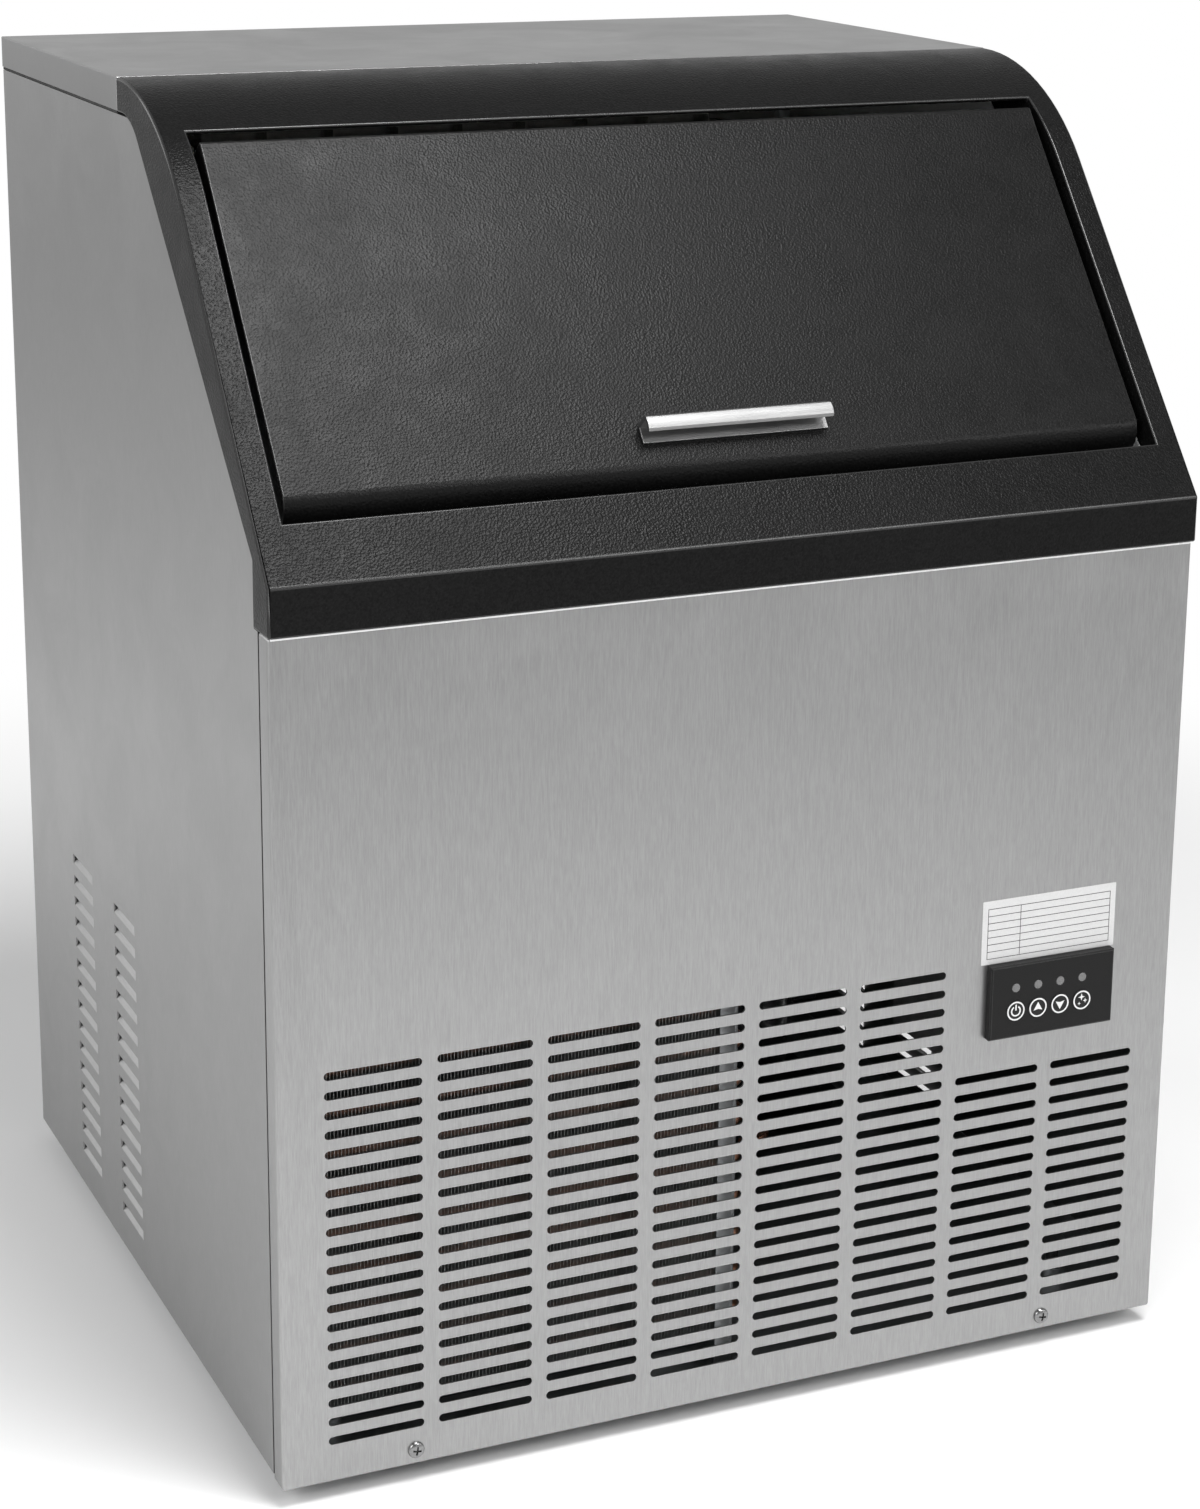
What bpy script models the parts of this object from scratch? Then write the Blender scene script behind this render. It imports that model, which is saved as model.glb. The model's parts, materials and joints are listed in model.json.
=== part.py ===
"""Undercounter ice maker: a steel cabinet, a moulded front frame with a tuck-in door, a bin, an
evaporator and the cooling machinery below it. Lengths are metres, +Z is up and the front faces -Y.

Pieces are laid out in a working frame: x is 0 in the middle, y is 0 at the front panel's face and
z is 0 at its bottom edge. The last step moves everything so the origin is at the bottom centre."""

import math

import bmesh
import bpy
from mathutils import Matrix, Vector

# Cabinet
CABINET_WIDTH = 0.600
CABINET_DEPTH = 0.565
COVER_TOP = 0.800
HALF = CABINET_WIDTH / 2
SHEET = 0.0012
FIT_GAP = 0.0003
OVERHANG = 0.0005
SIDE_BOTTOM = 0.0035
SIDE_DROP = 0.0223
SIDE_TOP = COVER_TOP - SIDE_DROP
SIDE_FLANGE = 0.011
SIDE_INNER = HALF - SHEET
INNER_HALF = SIDE_INNER - FIT_GAP
BACK_FACE = CABINET_DEPTH - SHEET
INSIDE_BACK = BACK_FACE - FIT_GAP
COVER_SKIRT = 0.0205
COVER_SKIRT_BOTTOM = COVER_TOP - COVER_SKIRT
COVER_RETURN = 0.010
DOOR_SWEEP_DROP = 0.008
DOOR_SWEEP_TOP = COVER_TOP - DOOR_SWEEP_DROP
DOOR_SWEEP_MARGIN = 0.013
DOOR_SWEEP_HALF = HALF - DOOR_SWEEP_MARGIN
INSULATION_REACH = 0.145
INSULATION_INSET = 0.015
INSULATION_BACK = CABINET_DEPTH - INSULATION_INSET
INSULATION_FRONT = INSULATION_BACK - INSULATION_REACH
INSULATION_DROP = 0.017
INSULATION_BOTTOM = COVER_TOP - INSULATION_DROP
INSULATION_MARGIN = 0.014
INSULATION_HALF = HALF - INSULATION_MARGIN
BACK_FLANGE = 0.012

# Front panel
BAND_DROP = 0.279
BAND_HEIGHT = 0.0285
BAND_BOTTOM = COVER_TOP - BAND_DROP
PANEL_RETURN = 0.0167
SLOT_COLUMNS = 8
SLOT_SHORT_COLUMNS = 2
SLOT_ROWS = 20
SLOT_SHORT_ROWS = 14
SLOT_HEIGHT = 0.0052
SLOT_BRIDGE = 0.0094
SLOT_LEFT_MARGIN = 0.0289
SLOT_RIGHT_MARGIN = 0.0253
SLOT_SPAN = CABINET_WIDTH - SLOT_LEFT_MARGIN - SLOT_RIGHT_MARGIN
SLOT_PITCH_X = (SLOT_SPAN + SLOT_BRIDGE) / SLOT_COLUMNS
SLOT_LENGTH = SLOT_PITCH_X - SLOT_BRIDGE
SLOT_FIRST_X = SLOT_LEFT_MARGIN - HALF
SLOT_FIRST_Z = 0.0269
SLOT_PITCH_Z = 0.01215
SLOT_END_STEPS = 2
SCREW_MARGIN = 0.0835
SCREW_X = HALF - SCREW_MARGIN
SCREW_Z = 0.0096
SCREW_HEAD_RADIUS = 0.0052
SCREW_HEAD_HEIGHT = 0.0024
SCREW_SHANK_RADIUS = 0.0021
SCREW_HOLE_RADIUS = 0.0024
SCREW_LENGTH = 0.008
SCREW_CROWN_SHARE = 0.55
SCREW_SHOULDER_SHARE = 0.9
RECESS_LENGTH = 0.0052
RECESS_WIDTH = 0.0011
RECESS_DEPTH = 0.0014

# Side louvres
LOUVRE_LENGTH = 0.050
LOUVRE_HEIGHT = 0.0068
LOUVRE_FIRST_TOP = 0.0350
LOUVRE_PITCH = 0.01538
LOUVRE_COUNT = 15
LOUVRE_BACK_MARGIN = 0.168
LOUVRE_COLUMN_PITCH = 0.104
LOUVRE_BACK_START = CABINET_DEPTH - LOUVRE_BACK_MARGIN
LOUVRE_COLUMN_STARTS = (LOUVRE_BACK_START - LOUVRE_COLUMN_PITCH, LOUVRE_BACK_START)
LOUVRE_REACH = 0.0054
LOUVRE_RISE = 0.0022
LOUVRE_METAL = 0.0009
LOUVRE_ROOT = 0.0006
LOUVRE_INSET = 0.0001

# Front frame around the door
BAND_PROUD = 0.0039
BAND_TOP = BAND_BOTTOM + BAND_HEIGHT
SLOPE_ANGLE = math.radians(51.5)
HOOD_RADIUS = 0.157
HOOD_DROP = 0.0001
HOOD_CENTRE_Z = COVER_TOP - HOOD_DROP - HOOD_RADIUS
HOOD_RISE = HOOD_CENTRE_Z - BAND_TOP
HOOD_REACH = (HOOD_RADIUS + HOOD_RISE * math.cos(SLOPE_ANGLE)) / math.sin(SLOPE_ANGLE)
HOOD_CENTRE_Y = HOOD_REACH - BAND_PROUD
COVER_SETBACK = 0.004
COVER_FRONT = HOOD_CENTRE_Y + COVER_SETBACK
HOOD_STEPS = 14
FRAME_SKIN = 0.003
FRAME_EDGE_RADIUS = 0.0018
FRAME_EDGE_STEPS = 2
FLANGE_DROP = 0.0208
FLANGE_TOP = COVER_TOP - FLANGE_DROP
FLANGE_FOOT_Y = 0.0234
FLANGE_FOOT_RISE = 0.0101
FLANGE_FOOT_Z = BAND_TOP + FLANGE_FOOT_RISE
FLANGE_ANGLE = math.radians(44.6)
FLANGE_BEND_RADIUS = 0.045
FLANGE_STEPS = 8
FRAME_SIDE = 0.0165
OPENING_HALF = HALF - FRAME_SIDE
OPENING_WALL = 0.0025
OPENING_SILL = 0.0383
OPENING_TOP_ANGLE = math.radians(121.9)
LIP_RADIUS = HOOD_RADIUS - FRAME_SKIN
LIP_REACH = HOOD_REACH + LIP_RADIUS * math.cos(OPENING_TOP_ANGLE)
LIP_RISE = HOOD_RISE + LIP_RADIUS * math.sin(OPENING_TOP_ANGLE)
LIP_UP = LIP_REACH * math.cos(SLOPE_ANGLE) + LIP_RISE * math.sin(SLOPE_ANGLE)
CUT_REACH = 0.080

# Door, in distance up the slope and depth below it
DOOR_SIDE_GAP = 0.005
DOOR_HALF = OPENING_HALF - DOOR_SIDE_GAP
DOOR_FACE = 0.004
DOOR_THICK = 0.016
DOOR_BACK = DOOR_FACE + DOOR_THICK
DOOR_SKIN = 0.003
DOOR_FOOT_GAP = 0.0067
DOOR_FOOT = OPENING_SILL + DOOR_FOOT_GAP
DOOR_FOLD_RISE = 0.0125
DOOR_FOLD = DOOR_FOOT + DOOR_FOLD_RISE
DOOR_CREASE = math.radians(30.0)
DOOR_ROLL_STEPS = 5
DOOR_TOP_GAP = 0.0089
DOOR_TOP = LIP_UP - DOOR_TOP_GAP
DOOR_TOP_RADIUS = 0.0025
DOOR_TOP_STEPS = 3
PIVOT_Y = 0.202
PIVOT_DROP = 0.308
PIVOT_Z = COVER_TOP - PIVOT_DROP
PIVOT_RADIUS = 0.006
HUB_RADIUS = 0.014
ARM_INSET = 0.0065
ARM_THICK = 0.004
ARM_INNER = DOOR_HALF - ARM_INSET
ARM_OUTER = ARM_INNER + ARM_THICK
ARM_FOOT_RISE = 0.035
ARM_FOOT_LENGTH = 0.120
ARM_LOW = DOOR_FOOT + ARM_FOOT_RISE
ARM_HIGH = ARM_LOW + ARM_FOOT_LENGTH
ARM_FOOT_WIDTH = 0.018
ARM_FOOT_THICK = 0.0025
PIN_MARGIN = 0.009
PIN_END = HALF - PIN_MARGIN

# Handle
HANDLE_LEFT = -0.056
HANDLE_RIGHT = 0.065
HANDLE_RISE = 0.0245
HANDLE_DEEP = 0.0125
HANDLE_LOW = DOOR_FOOT + HANDLE_RISE
HANDLE_HIGH = HANDLE_LOW + HANDLE_DEEP
HANDLE_METAL = 0.0015
HANDLE_WEB = 0.0025
HANDLE_STAND = 0.008
HANDLE_LIP_SETBACK = 0.0022
HANDLE_LIP_LOW = HANDLE_LOW + HANDLE_LIP_SETBACK
HANDLE_CROWN = 0.0025

# Controls
CONTROL_MARGIN = 0.045
CONTROL_WIDTH = 0.0895
CONTROL_RIGHT = HALF - CONTROL_MARGIN
CONTROL_LEFT = CONTROL_RIGHT - CONTROL_WIDTH
CONTROL_BOTTOM = 0.211
CONTROL_HEIGHT = 0.049
CONTROL_TOP = CONTROL_BOTTOM + CONTROL_HEIGHT
CONTROL_PROUD = 0.006
CONTROL_EDGE = 0.001
CONTROL_FIRST_INSET = 0.0179
CONTROL_FIRST_X = CONTROL_LEFT + CONTROL_FIRST_INSET
CONTROL_PITCH = 0.0161
CONTROL_COUNT = 4
INDICATOR_DROP = 0.0156
INDICATOR_Z = CONTROL_TOP - INDICATOR_DROP
INDICATOR_RADIUS = 0.0029
INDICATOR_DEPTH = 0.003
INDICATOR_PROUD = 0.0006
BUTTON_RISE = 0.0182
BUTTON_Z = CONTROL_BOTTOM + BUTTON_RISE
BUTTON_RADIUS = 0.0065
BUTTON_DEPTH = 0.0042
BUTTON_TRAVEL = 0.0006
BUTTON_PROUD = 0.0008
BUTTON_CLEARANCE = 0.0003
ELECTRICS_WIDTH = 0.135
ELECTRICS_MARGIN = 0.015
ELECTRICS_RIGHT = HALF - ELECTRICS_MARGIN
ELECTRICS_LEFT = ELECTRICS_RIGHT - ELECTRICS_WIDTH
ELECTRICS_FRONT = 0.012
ELECTRICS_BACK = 0.090
ELECTRICS_BOTTOM = 0.190
ELECTRICS_LID = 0.003

# Bin
DECK_BOTTOM = 0.2785
DECK_FLANGE = 0.015
FOAM_BOTTOM = DECK_BOTTOM + SHEET + FIT_GAP
FOAM_FLOOR = 0.018
LINER_FLOOR = FOAM_BOTTOM + FOAM_FLOOR
LINER_WALL = 0.002
LINER_MARGIN = 0.0145
LINER_HALF = HALF - LINER_MARGIN
LINER_INNER = LINER_HALF - LINER_WALL
LINER_BACK_MARGIN = 0.020
LINER_BACK = CABINET_DEPTH - LINER_BACK_MARGIN
LINER_DROP = 0.0241
LINER_TOP = COVER_TOP - LINER_DROP
LINER_COLLAR_RADIUS = 0.014
LINER_COLLAR_OUTER = PIN_END
FOAM_HALF = INNER_HALF
FOAM_FRONT = SHEET + FIT_GAP
FOAM_BACK = INSIDE_BACK
FOAM_DROP = 0.0238
FOAM_TOP = COVER_TOP - FOAM_DROP
FOAM_SHOULDER_GAP = 0.0018
FOAM_SHOULDER = BAND_BOTTOM - FOAM_SHOULDER_GAP
DRAIN_MARGIN_X = 0.120
DRAIN_MARGIN_Y = 0.065
DRAIN_X = DRAIN_MARGIN_X - HALF
DRAIN_Y = CABINET_DEPTH - DRAIN_MARGIN_Y
DRAIN_RADIUS = 0.009
DRAIN_ROOM = 0.013
FOAM_DRAIN_RADIUS = DRAIN_RADIUS + DRAIN_ROOM
STRAINER_HOLES = 6
STRAINER_MARGIN = 0.0035
STRAINER_RING = DRAIN_RADIUS - STRAINER_MARGIN
STRAINER_HOLE_RADIUS = 0.0017
STRAINER_HOLE_STEPS = 8
DRAIN_LOW = 0.040
DRAIN_BEND = 0.030
SPIGOT_LENGTH = 0.025
SPIGOT_START = CABINET_DEPTH - SPIGOT_LENGTH
SPIGOT_RADIUS = 0.010
SPIGOT_FLANGE_RADIUS = 0.015
SPIGOT_FLANGE = 0.003
REAR_REACH = 0.014

# Ice making
BIN_HEIGHT = LINER_TOP - LINER_FLOOR
PLATE_MARGIN_X = 0.110
PLATE_HALF = HALF - PLATE_MARGIN_X
PLATE_BOTTOM_SHARE = 0.422683
PLATE_TOP_SHARE = 0.92488
PLATE_BOTTOM = LINER_FLOOR + BIN_HEIGHT * PLATE_BOTTOM_SHARE
PLATE_TOP = LINER_FLOOR + BIN_HEIGHT * PLATE_TOP_SHARE
PLATE_BACK_ROOM = 0.079
PLATE_THICK = 0.016
PLATE_BACK = CABINET_DEPTH - PLATE_BACK_ROOM
PLATE_FRONT = PLATE_BACK - PLATE_THICK
CELL_COLUMNS = 8
CELL_ROWS = 5
CELL_WALL = 0.0015
CELL_DRAFT = 0.002
CELL_DEPTH = 0.013
POST_INSET_X = 0.008
POST_X = PLATE_HALF - POST_INSET_X
POST_INSET_Z = 0.012
POST_RADIUS = 0.005
LUG_STAND = 0.012
LUG_THICK = 0.004
LUG_INNER = PLATE_HALF + LUG_STAND
LUG_OUTER = LUG_INNER + LUG_THICK
LUG_REACH = 0.024
LUG_FRONT = PLATE_FRONT - LUG_REACH
LUG_LOW_DROP = 0.020
LUG_HIGH_DROP = 0.0055
LUG_BOTTOM = PLATE_TOP - LUG_LOW_DROP
LUG_TOP = PLATE_TOP - LUG_HIGH_DROP
LUG_OVERLAP = 0.004
COIL_RADIUS = 0.004
COIL_INSET = 0.030
COIL_HALF = PLATE_HALF - COIL_INSET
COIL_PASSES = 5
COIL_RISE = 0.025
COIL_DROP = 0.035
COIL_LOW = PLATE_BOTTOM + COIL_RISE
COIL_PITCH = (PLATE_TOP - COIL_DROP - COIL_LOW) / (COIL_PASSES - 1)
COIL_BEND = 0.018
SUCTION_MARGIN_X = 0.065
SUCTION_MARGIN_Y = 0.037
SUCTION_X = SUCTION_MARGIN_X - HALF
SUCTION_Y = CABINET_DEPTH - SUCTION_MARGIN_Y
SUCTION_RADIUS = 0.005
SUCTION_LOW = 0.245
SUCTION_BEND = 0.020
TUBE_MARGIN = 0.005
TUBE_HALF = PLATE_HALF + TUBE_MARGIN
TUBE_RADIUS = 0.008
TUBE_Y = PLATE_FRONT + TUBE_RADIUS
CURTAIN_STAND = 0.018
CURTAIN_Y = PLATE_FRONT - CURTAIN_STAND
CURTAIN_DROP = 0.0125
CURTAIN_Z = PLATE_TOP - CURTAIN_DROP
CURTAIN_SIDE = 0.0105
CURTAIN_HALF = PLATE_HALF + CURTAIN_SIDE
CURTAIN_FOOT = 0.005
CURTAIN_HEM = 0.0085
CURTAIN_BOTTOM = PLATE_BOTTOM + CURTAIN_FOOT
CURTAIN_TOP = PLATE_TOP - CURTAIN_HEM
CURTAIN_THICK = 0.002
CURTAIN_PIN_RADIUS = 0.003
CURTAIN_PIN_REACH = 0.002
CURTAIN_PIN_END = LUG_OUTER + CURTAIN_PIN_REACH
TROUGH_LEFT_REACH = 0.015
TROUGH_LEFT = -PLATE_HALF - TROUGH_LEFT_REACH
TROUGH_MARGIN = 0.030
TROUGH_RIGHT = HALF - TROUGH_MARGIN
TROUGH_REACH = 0.012
TROUGH_FRONT = PLATE_FRONT - TROUGH_REACH
TROUGH_DROP = 0.022
TROUGH_DEEP = 0.048
TROUGH_TOP = PLATE_BOTTOM - TROUGH_DROP
TROUGH_BOTTOM = TROUGH_TOP - TROUGH_DEEP
TROUGH_WALL = 0.002
GUIDE_INSET = 0.010
GUIDE_STAND = 0.035
GUIDE_X = PLATE_HALF - GUIDE_INSET
GUIDE_Y = PLATE_FRONT + GUIDE_STAND
GUIDE_RADIUS = 0.003
GUIDE_HEIGHT = 0.067
GUIDE_TOP = TROUGH_BOTTOM + GUIDE_HEIGHT
FLOAT_RADIUS = 0.012
FLOAT_HEIGHT = 0.018
FLOAT_RISE = 0.006
FLOAT_REST = TROUGH_BOTTOM + FLOAT_RISE
PUMP_INSET = 0.045
PUMP_STAND = 0.030
PUMP_X = TROUGH_RIGHT - PUMP_INSET
PUMP_Y = PLATE_FRONT + PUMP_STAND
PUMP_BASE_RADIUS = 0.019
PUMP_BASE_RISE = 0.022
PUMP_BASE_TOP = TROUGH_BOTTOM + PUMP_BASE_RISE
PUMP_NECK_RADIUS = 0.012
PUMP_NECK_RISE = 0.056
PUMP_NECK_TOP = TROUGH_BOTTOM + PUMP_NECK_RISE
PUMP_MOTOR_RADIUS = 0.018
PUMP_RISE = 0.105
PUMP_TOP = TROUGH_BOTTOM + PUMP_RISE
PUMP_EDGE = 0.003
OUTLET_REACH = 0.031
OUTLET_RISE = 0.040
OUTLET_X = PUMP_X + OUTLET_REACH
OUTLET_RADIUS = 0.006
OUTLET_TOP = TROUGH_BOTTOM + OUTLET_RISE
HOSE_DROP = 0.040
HOSE_TURN_Z = PLATE_TOP - HOSE_DROP
HOSE_BEND = 0.016

# Base, feet and machinery
PAN_TOP = SIDE_BOTTOM + SHEET
PAN_SEAT = PAN_TOP + FIT_GAP
PAN_FLANGE_TOP = 0.022
FOOT_MARGIN_X = 0.045
FOOT_X = HALF - FOOT_MARGIN_X
FOOT_FRONT_Y = 0.050
FOOT_REAR_Y = CABINET_DEPTH - FOOT_FRONT_Y
FOOT_PAD_RADIUS = 0.016
FOOT_PAD_HEIGHT = 0.009
FOOT_PROJECTION = 0.012
FOOT_STUD_RADIUS = 0.004
FOOT_STUD_TOP = 0.030
FOOT_BOSS_RADIUS = 0.009
FOOT_BOSS_TOP = 0.016
FOOT_EDGE = 0.002
COMPRESSOR_MARGIN_X = 0.150
COMPRESSOR_MARGIN_Y = 0.165
COMPRESSOR_X = HALF - COMPRESSOR_MARGIN_X
COMPRESSOR_Y = CABINET_DEPTH - COMPRESSOR_MARGIN_Y
COMPRESSOR_RADIUS = 0.078
COMPRESSOR_BOTTOM = 0.024
COMPRESSOR_TOP = 0.215
COMPRESSOR_DOME = 0.040
COMPRESSOR_SEAM_Z = 0.125
COMPRESSOR_SEAM = 0.003
COMPRESSOR_BASE_SHARE = 0.8
PLATE_FOOT_HALF_X = 0.098
PLATE_FOOT_HALF_Y = 0.070
PLATE_FOOT_BOTTOM = 0.022
PLATE_FOOT_THICK = 0.003
GROMMET_RADIUS = 0.011
GROMMET_WAIST = 0.008
GROMMET_INSET = 0.014
GROMMET_RIM = 0.004
TERMINAL_HALF = 0.024
TERMINAL_LOW = 0.085
TERMINAL_HIGH = 0.150
TERMINAL_REACH = 0.018
STUB_RADIUS = 0.006
STUB_REACH = 0.014
DISCHARGE_Z = 0.150
CONDENSER_MARGIN = 0.016
CONDENSER_ROOM = 0.136
CONDENSER_LEFT = CONDENSER_MARGIN - HALF
CONDENSER_RIGHT = COMPRESSOR_X - CONDENSER_ROOM
CONDENSER_FRONT = 0.014
CONDENSER_THICK = 0.046
CONDENSER_BACK = CONDENSER_FRONT + CONDENSER_THICK
CONDENSER_TOP = 0.262
CONDENSER_PLATE = 0.004
CONDENSER_LIFT = 0.0325
CONDENSER_PLATE_PROUD = 0.003
FIN_COUNT = 36
FIN_GROOVE = 0.005
FIN_GROOVE_SHARE = 0.6
DISCHARGE_TURN = 0.022
DISCHARGE_TURN_X = CONDENSER_RIGHT + DISCHARGE_TURN
PIPE_RADIUS = 0.0045
PIPE_BEND = 0.018
SUCTION_STUB_OFFSET = 0.025
SUCTION_STUB_Y = COMPRESSOR_Y + SUCTION_STUB_OFFSET
SUCTION_STUB_X = COMPRESSOR_X
SUCTION_TURN_Y = DRAIN_Y
SHROUD_GAP = 0.0005
SHROUD_DEEP = 0.0335
SHROUD_FRONT = CONDENSER_BACK + SHROUD_GAP
SHROUD_BACK = SHROUD_FRONT + SHROUD_DEEP
SHROUD_METAL = 0.002
FAN_X = (CONDENSER_LEFT + CONDENSER_RIGHT) / 2
FAN_Z = 0.134
FAN_OPENING_SHARE = 0.35235
FAN_OPENING = (CONDENSER_RIGHT - CONDENSER_LEFT) * FAN_OPENING_SHARE
FAN_TIP_GAP = 0.007
FAN_RADIUS = FAN_OPENING - FAN_TIP_GAP
FAN_HUB_RADIUS = 0.022
FAN_HUB_SETBACK = 0.012
FAN_HUB_DEEP = 0.019
FAN_HUB_FRONT = SHROUD_BACK - FAN_HUB_SETBACK
FAN_HUB_BACK = FAN_HUB_FRONT + FAN_HUB_DEEP
FAN_BLADES = 5
FAN_CHORD = 0.044
FAN_METAL = 0.002
FAN_ROOT_SHARE = 0.8
FAN_PITCH = math.radians(24.0)
SHAFT_RADIUS = 0.003
SHAFT_INSET = 0.006
SHAFT_END = FAN_HUB_FRONT + SHAFT_INSET
MOTOR_NECK_RADIUS = 0.012
MOTOR_NECK_GAP = 0.003
MOTOR_NECK_LENGTH = 0.0063
MOTOR_LENGTH = 0.0417
MOTOR_NECK_FRONT = FAN_HUB_BACK + MOTOR_NECK_GAP
MOTOR_FRONT = MOTOR_NECK_FRONT + MOTOR_NECK_LENGTH
MOTOR_BACK = MOTOR_FRONT + MOTOR_LENGTH
MOTOR_RADIUS = 0.036
MOTOR_EDGE = 0.004
BRACKET_METAL = 0.002
BRACKET_FRONT = MOTOR_FRONT - BRACKET_METAL - FIT_GAP
BRACKET_HALF = 0.028
BRACKET_HEAD = 0.030
BRACKET_FOOT = 0.042
BRACKET_FOOT_BACK = BRACKET_FRONT + BRACKET_FOOT
DRIER_OFFSET = 0.140
DRIER_X = COMPRESSOR_X - DRIER_OFFSET
DRIER_Y = 0.230
DRIER_RADIUS = 0.013
DRIER_NECK = 0.005
DRIER_TOP = 0.135
DRIER_SHOULDER = 0.014

# Rear fittings
VALVE_MARGIN = 0.120
VALVE_X = HALF - VALVE_MARGIN
VALVE_Z = 0.120
VALVE_BODY_HALF = 0.020
VALVE_BODY_ROOM = 0.050
VALVE_BODY_FRONT = CABINET_DEPTH - VALVE_BODY_ROOM
NIPPLE_RADIUS = 0.013
NIPPLE_BORE = 0.009
NIPPLE_BORE_DEPTH = 0.010
GLAND_OFFSET = 0.120
GLAND_X = VALVE_X - GLAND_OFFSET
GLAND_Z = 0.060
GLAND_RADIUS = 0.008
GLAND_HEAD_RADIUS = 0.012
GLAND_HEAD = 0.009
GLAND_NUT = 0.006
GLAND_BORE = 0.004
VENT_COLUMNS = 3
VENT_ROWS = 8
VENT_MARGIN = 0.125
VENT_BRIDGE = 0.040
VENT_SPAN = CABINET_WIDTH - VENT_MARGIN * 2
VENT_PITCH_X = (VENT_SPAN + VENT_BRIDGE) / VENT_COLUMNS
VENT_LENGTH = VENT_PITCH_X - VENT_BRIDGE
VENT_HEIGHT = 0.005
VENT_PITCH_Z = 0.012
VENT_FIRST_Z = 0.165

# Roundness
FINE_STEPS = 32
ROUND_STEPS = 16
COARSE_STEPS = 12
BEND_STEPS = 4
PIPE_RING_STEPS = 2

# Joining of curve caps and flat faces
WELD_GAP = 0.00001
FLAT_ANGLE = math.radians(0.2)

LOOKS = {
    "steel": ((0.62, 0.62, 0.61), 1.0, 0.32),
    "galvanised": ((0.55, 0.57, 0.58), 1.0, 0.45),
    "black_plastic": ((0.03, 0.03, 0.032), 0.0, 0.45),
    "white_plastic": ((0.82, 0.83, 0.83), 0.0, 0.40),
    "clear_plastic": ((0.70, 0.74, 0.76), 0.0, 0.15),
    "foam": ((0.85, 0.78, 0.55), 0.0, 0.90),
    "aluminium": ((0.72, 0.72, 0.73), 1.0, 0.30),
    "rubber": ((0.02, 0.02, 0.02), 0.0, 0.80),
    "copper": ((0.72, 0.36, 0.22), 1.0, 0.30),
    "nickel": ((0.66, 0.65, 0.62), 1.0, 0.22),
    "black_paint": ((0.02, 0.02, 0.022), 0.0, 0.35),
    "screw_steel": ((0.60, 0.60, 0.60), 1.0, 0.25),
}


# Set-up


def clear_scene():
    for old in list(bpy.data.objects):
        bpy.data.objects.remove(old, do_unlink=True)


def new_collection(name, hidden):
    made = bpy.data.collections.new(name)
    bpy.context.scene.collection.children.link(made)
    made.hide_render = hidden
    return made


def look(name, colour, metallic, roughness):
    made = bpy.data.materials.new(name)
    made.use_nodes = True
    shader = made.node_tree.nodes["Principled BSDF"]
    shader.inputs["Base Color"].default_value = (*colour, 1.0)
    shader.inputs["Metallic"].default_value = metallic
    shader.inputs["Roughness"].default_value = roughness
    return made


clear_scene()
PARTS = new_collection("undercounter_ice_maker", False)
CUTTERS = new_collection("cutters", True)


# Building blocks


AXIS_TURNS = {
    "x": Matrix(((0, 0, 1), (1, 0, 0), (0, 1, 0))),
    "y": Matrix(((1, 0, 0), (0, 0, 1), (0, 1, 0))),
    "z": Matrix.Identity(3),
}


def placing(axis, centre, along):
    """Brings a shape made upright on the origin to its axis and its place."""
    turn = AXIS_TURNS[axis]
    return Matrix.Translation(turn @ Vector((*centre, along))) @ turn.to_4x4()


def block(bm, xs, ys, zs):
    made = bmesh.ops.create_cube(bm, size=1)["verts"]
    low = Vector((min(xs), min(ys), min(zs)))
    high = Vector((max(xs), max(ys), max(zs)))
    bmesh.ops.scale(bm, verts=made, vec=high - low)
    bmesh.ops.translate(bm, verts=made, vec=(low + high) / 2)
    return made


def cylinder(bm, axis, centre, radius, near, far, steps=ROUND_STEPS):
    made = bmesh.ops.create_cone(
        bm,
        cap_ends=True,
        segments=steps,
        radius1=radius,
        radius2=radius,
        depth=abs(far - near),
    )["verts"]
    bmesh.ops.transform(bm, matrix=placing(axis, centre, (near + far) / 2), verts=made)
    return made


def mesh_of(holder):
    """The finished mesh of a curve, or of a sketch with its modifiers."""
    PARTS.objects.link(holder)
    bpy.context.view_layer.update()
    graph = bpy.context.evaluated_depsgraph_get()
    mesh = bpy.data.meshes.new_from_object(holder.evaluated_get(graph))
    bpy.data.objects.remove(holder, do_unlink=True)
    return mesh


def add_welded(bm, mesh, matrix, whole_faces=False):
    """Adds a mesh with its loose caps welded on, and its flat faces made whole if asked."""
    piece = bmesh.new()
    piece.from_mesh(mesh)
    bmesh.ops.remove_doubles(piece, verts=piece.verts, dist=WELD_GAP)
    if whole_faces:
        bmesh.ops.dissolve_limit(
            piece, angle_limit=FLAT_ANGLE, verts=piece.verts, edges=piece.edges
        )
    bmesh.ops.transform(piece, matrix=matrix, verts=piece.verts)
    piece.to_mesh(mesh)
    piece.free()
    bm.from_mesh(mesh)
    bpy.data.meshes.remove(mesh)


def poly_spline(curve, places, closed):
    spline = curve.splines.new("POLY")
    spline.points.add(len(places) - 1)
    for point, place in zip(spline.points, places):
        point.co = (*place, 1)
    spline.use_cyclic_u = closed


def prism(bm, axis, outline, near, far):
    """A flat outline with a thickness, from near to far along an axis."""
    curve = bpy.data.curves.new("outline", "CURVE")
    curve.dimensions = "2D"
    curve.fill_mode = "BOTH"
    curve.extrude = abs(far - near) / 2
    poly_spline(curve, [(*pair, 0) for pair in outline], True)
    mesh = mesh_of(bpy.data.objects.new("outline", curve))
    add_welded(bm, mesh, placing(axis, (0, 0), (near + far) / 2), True)


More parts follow.
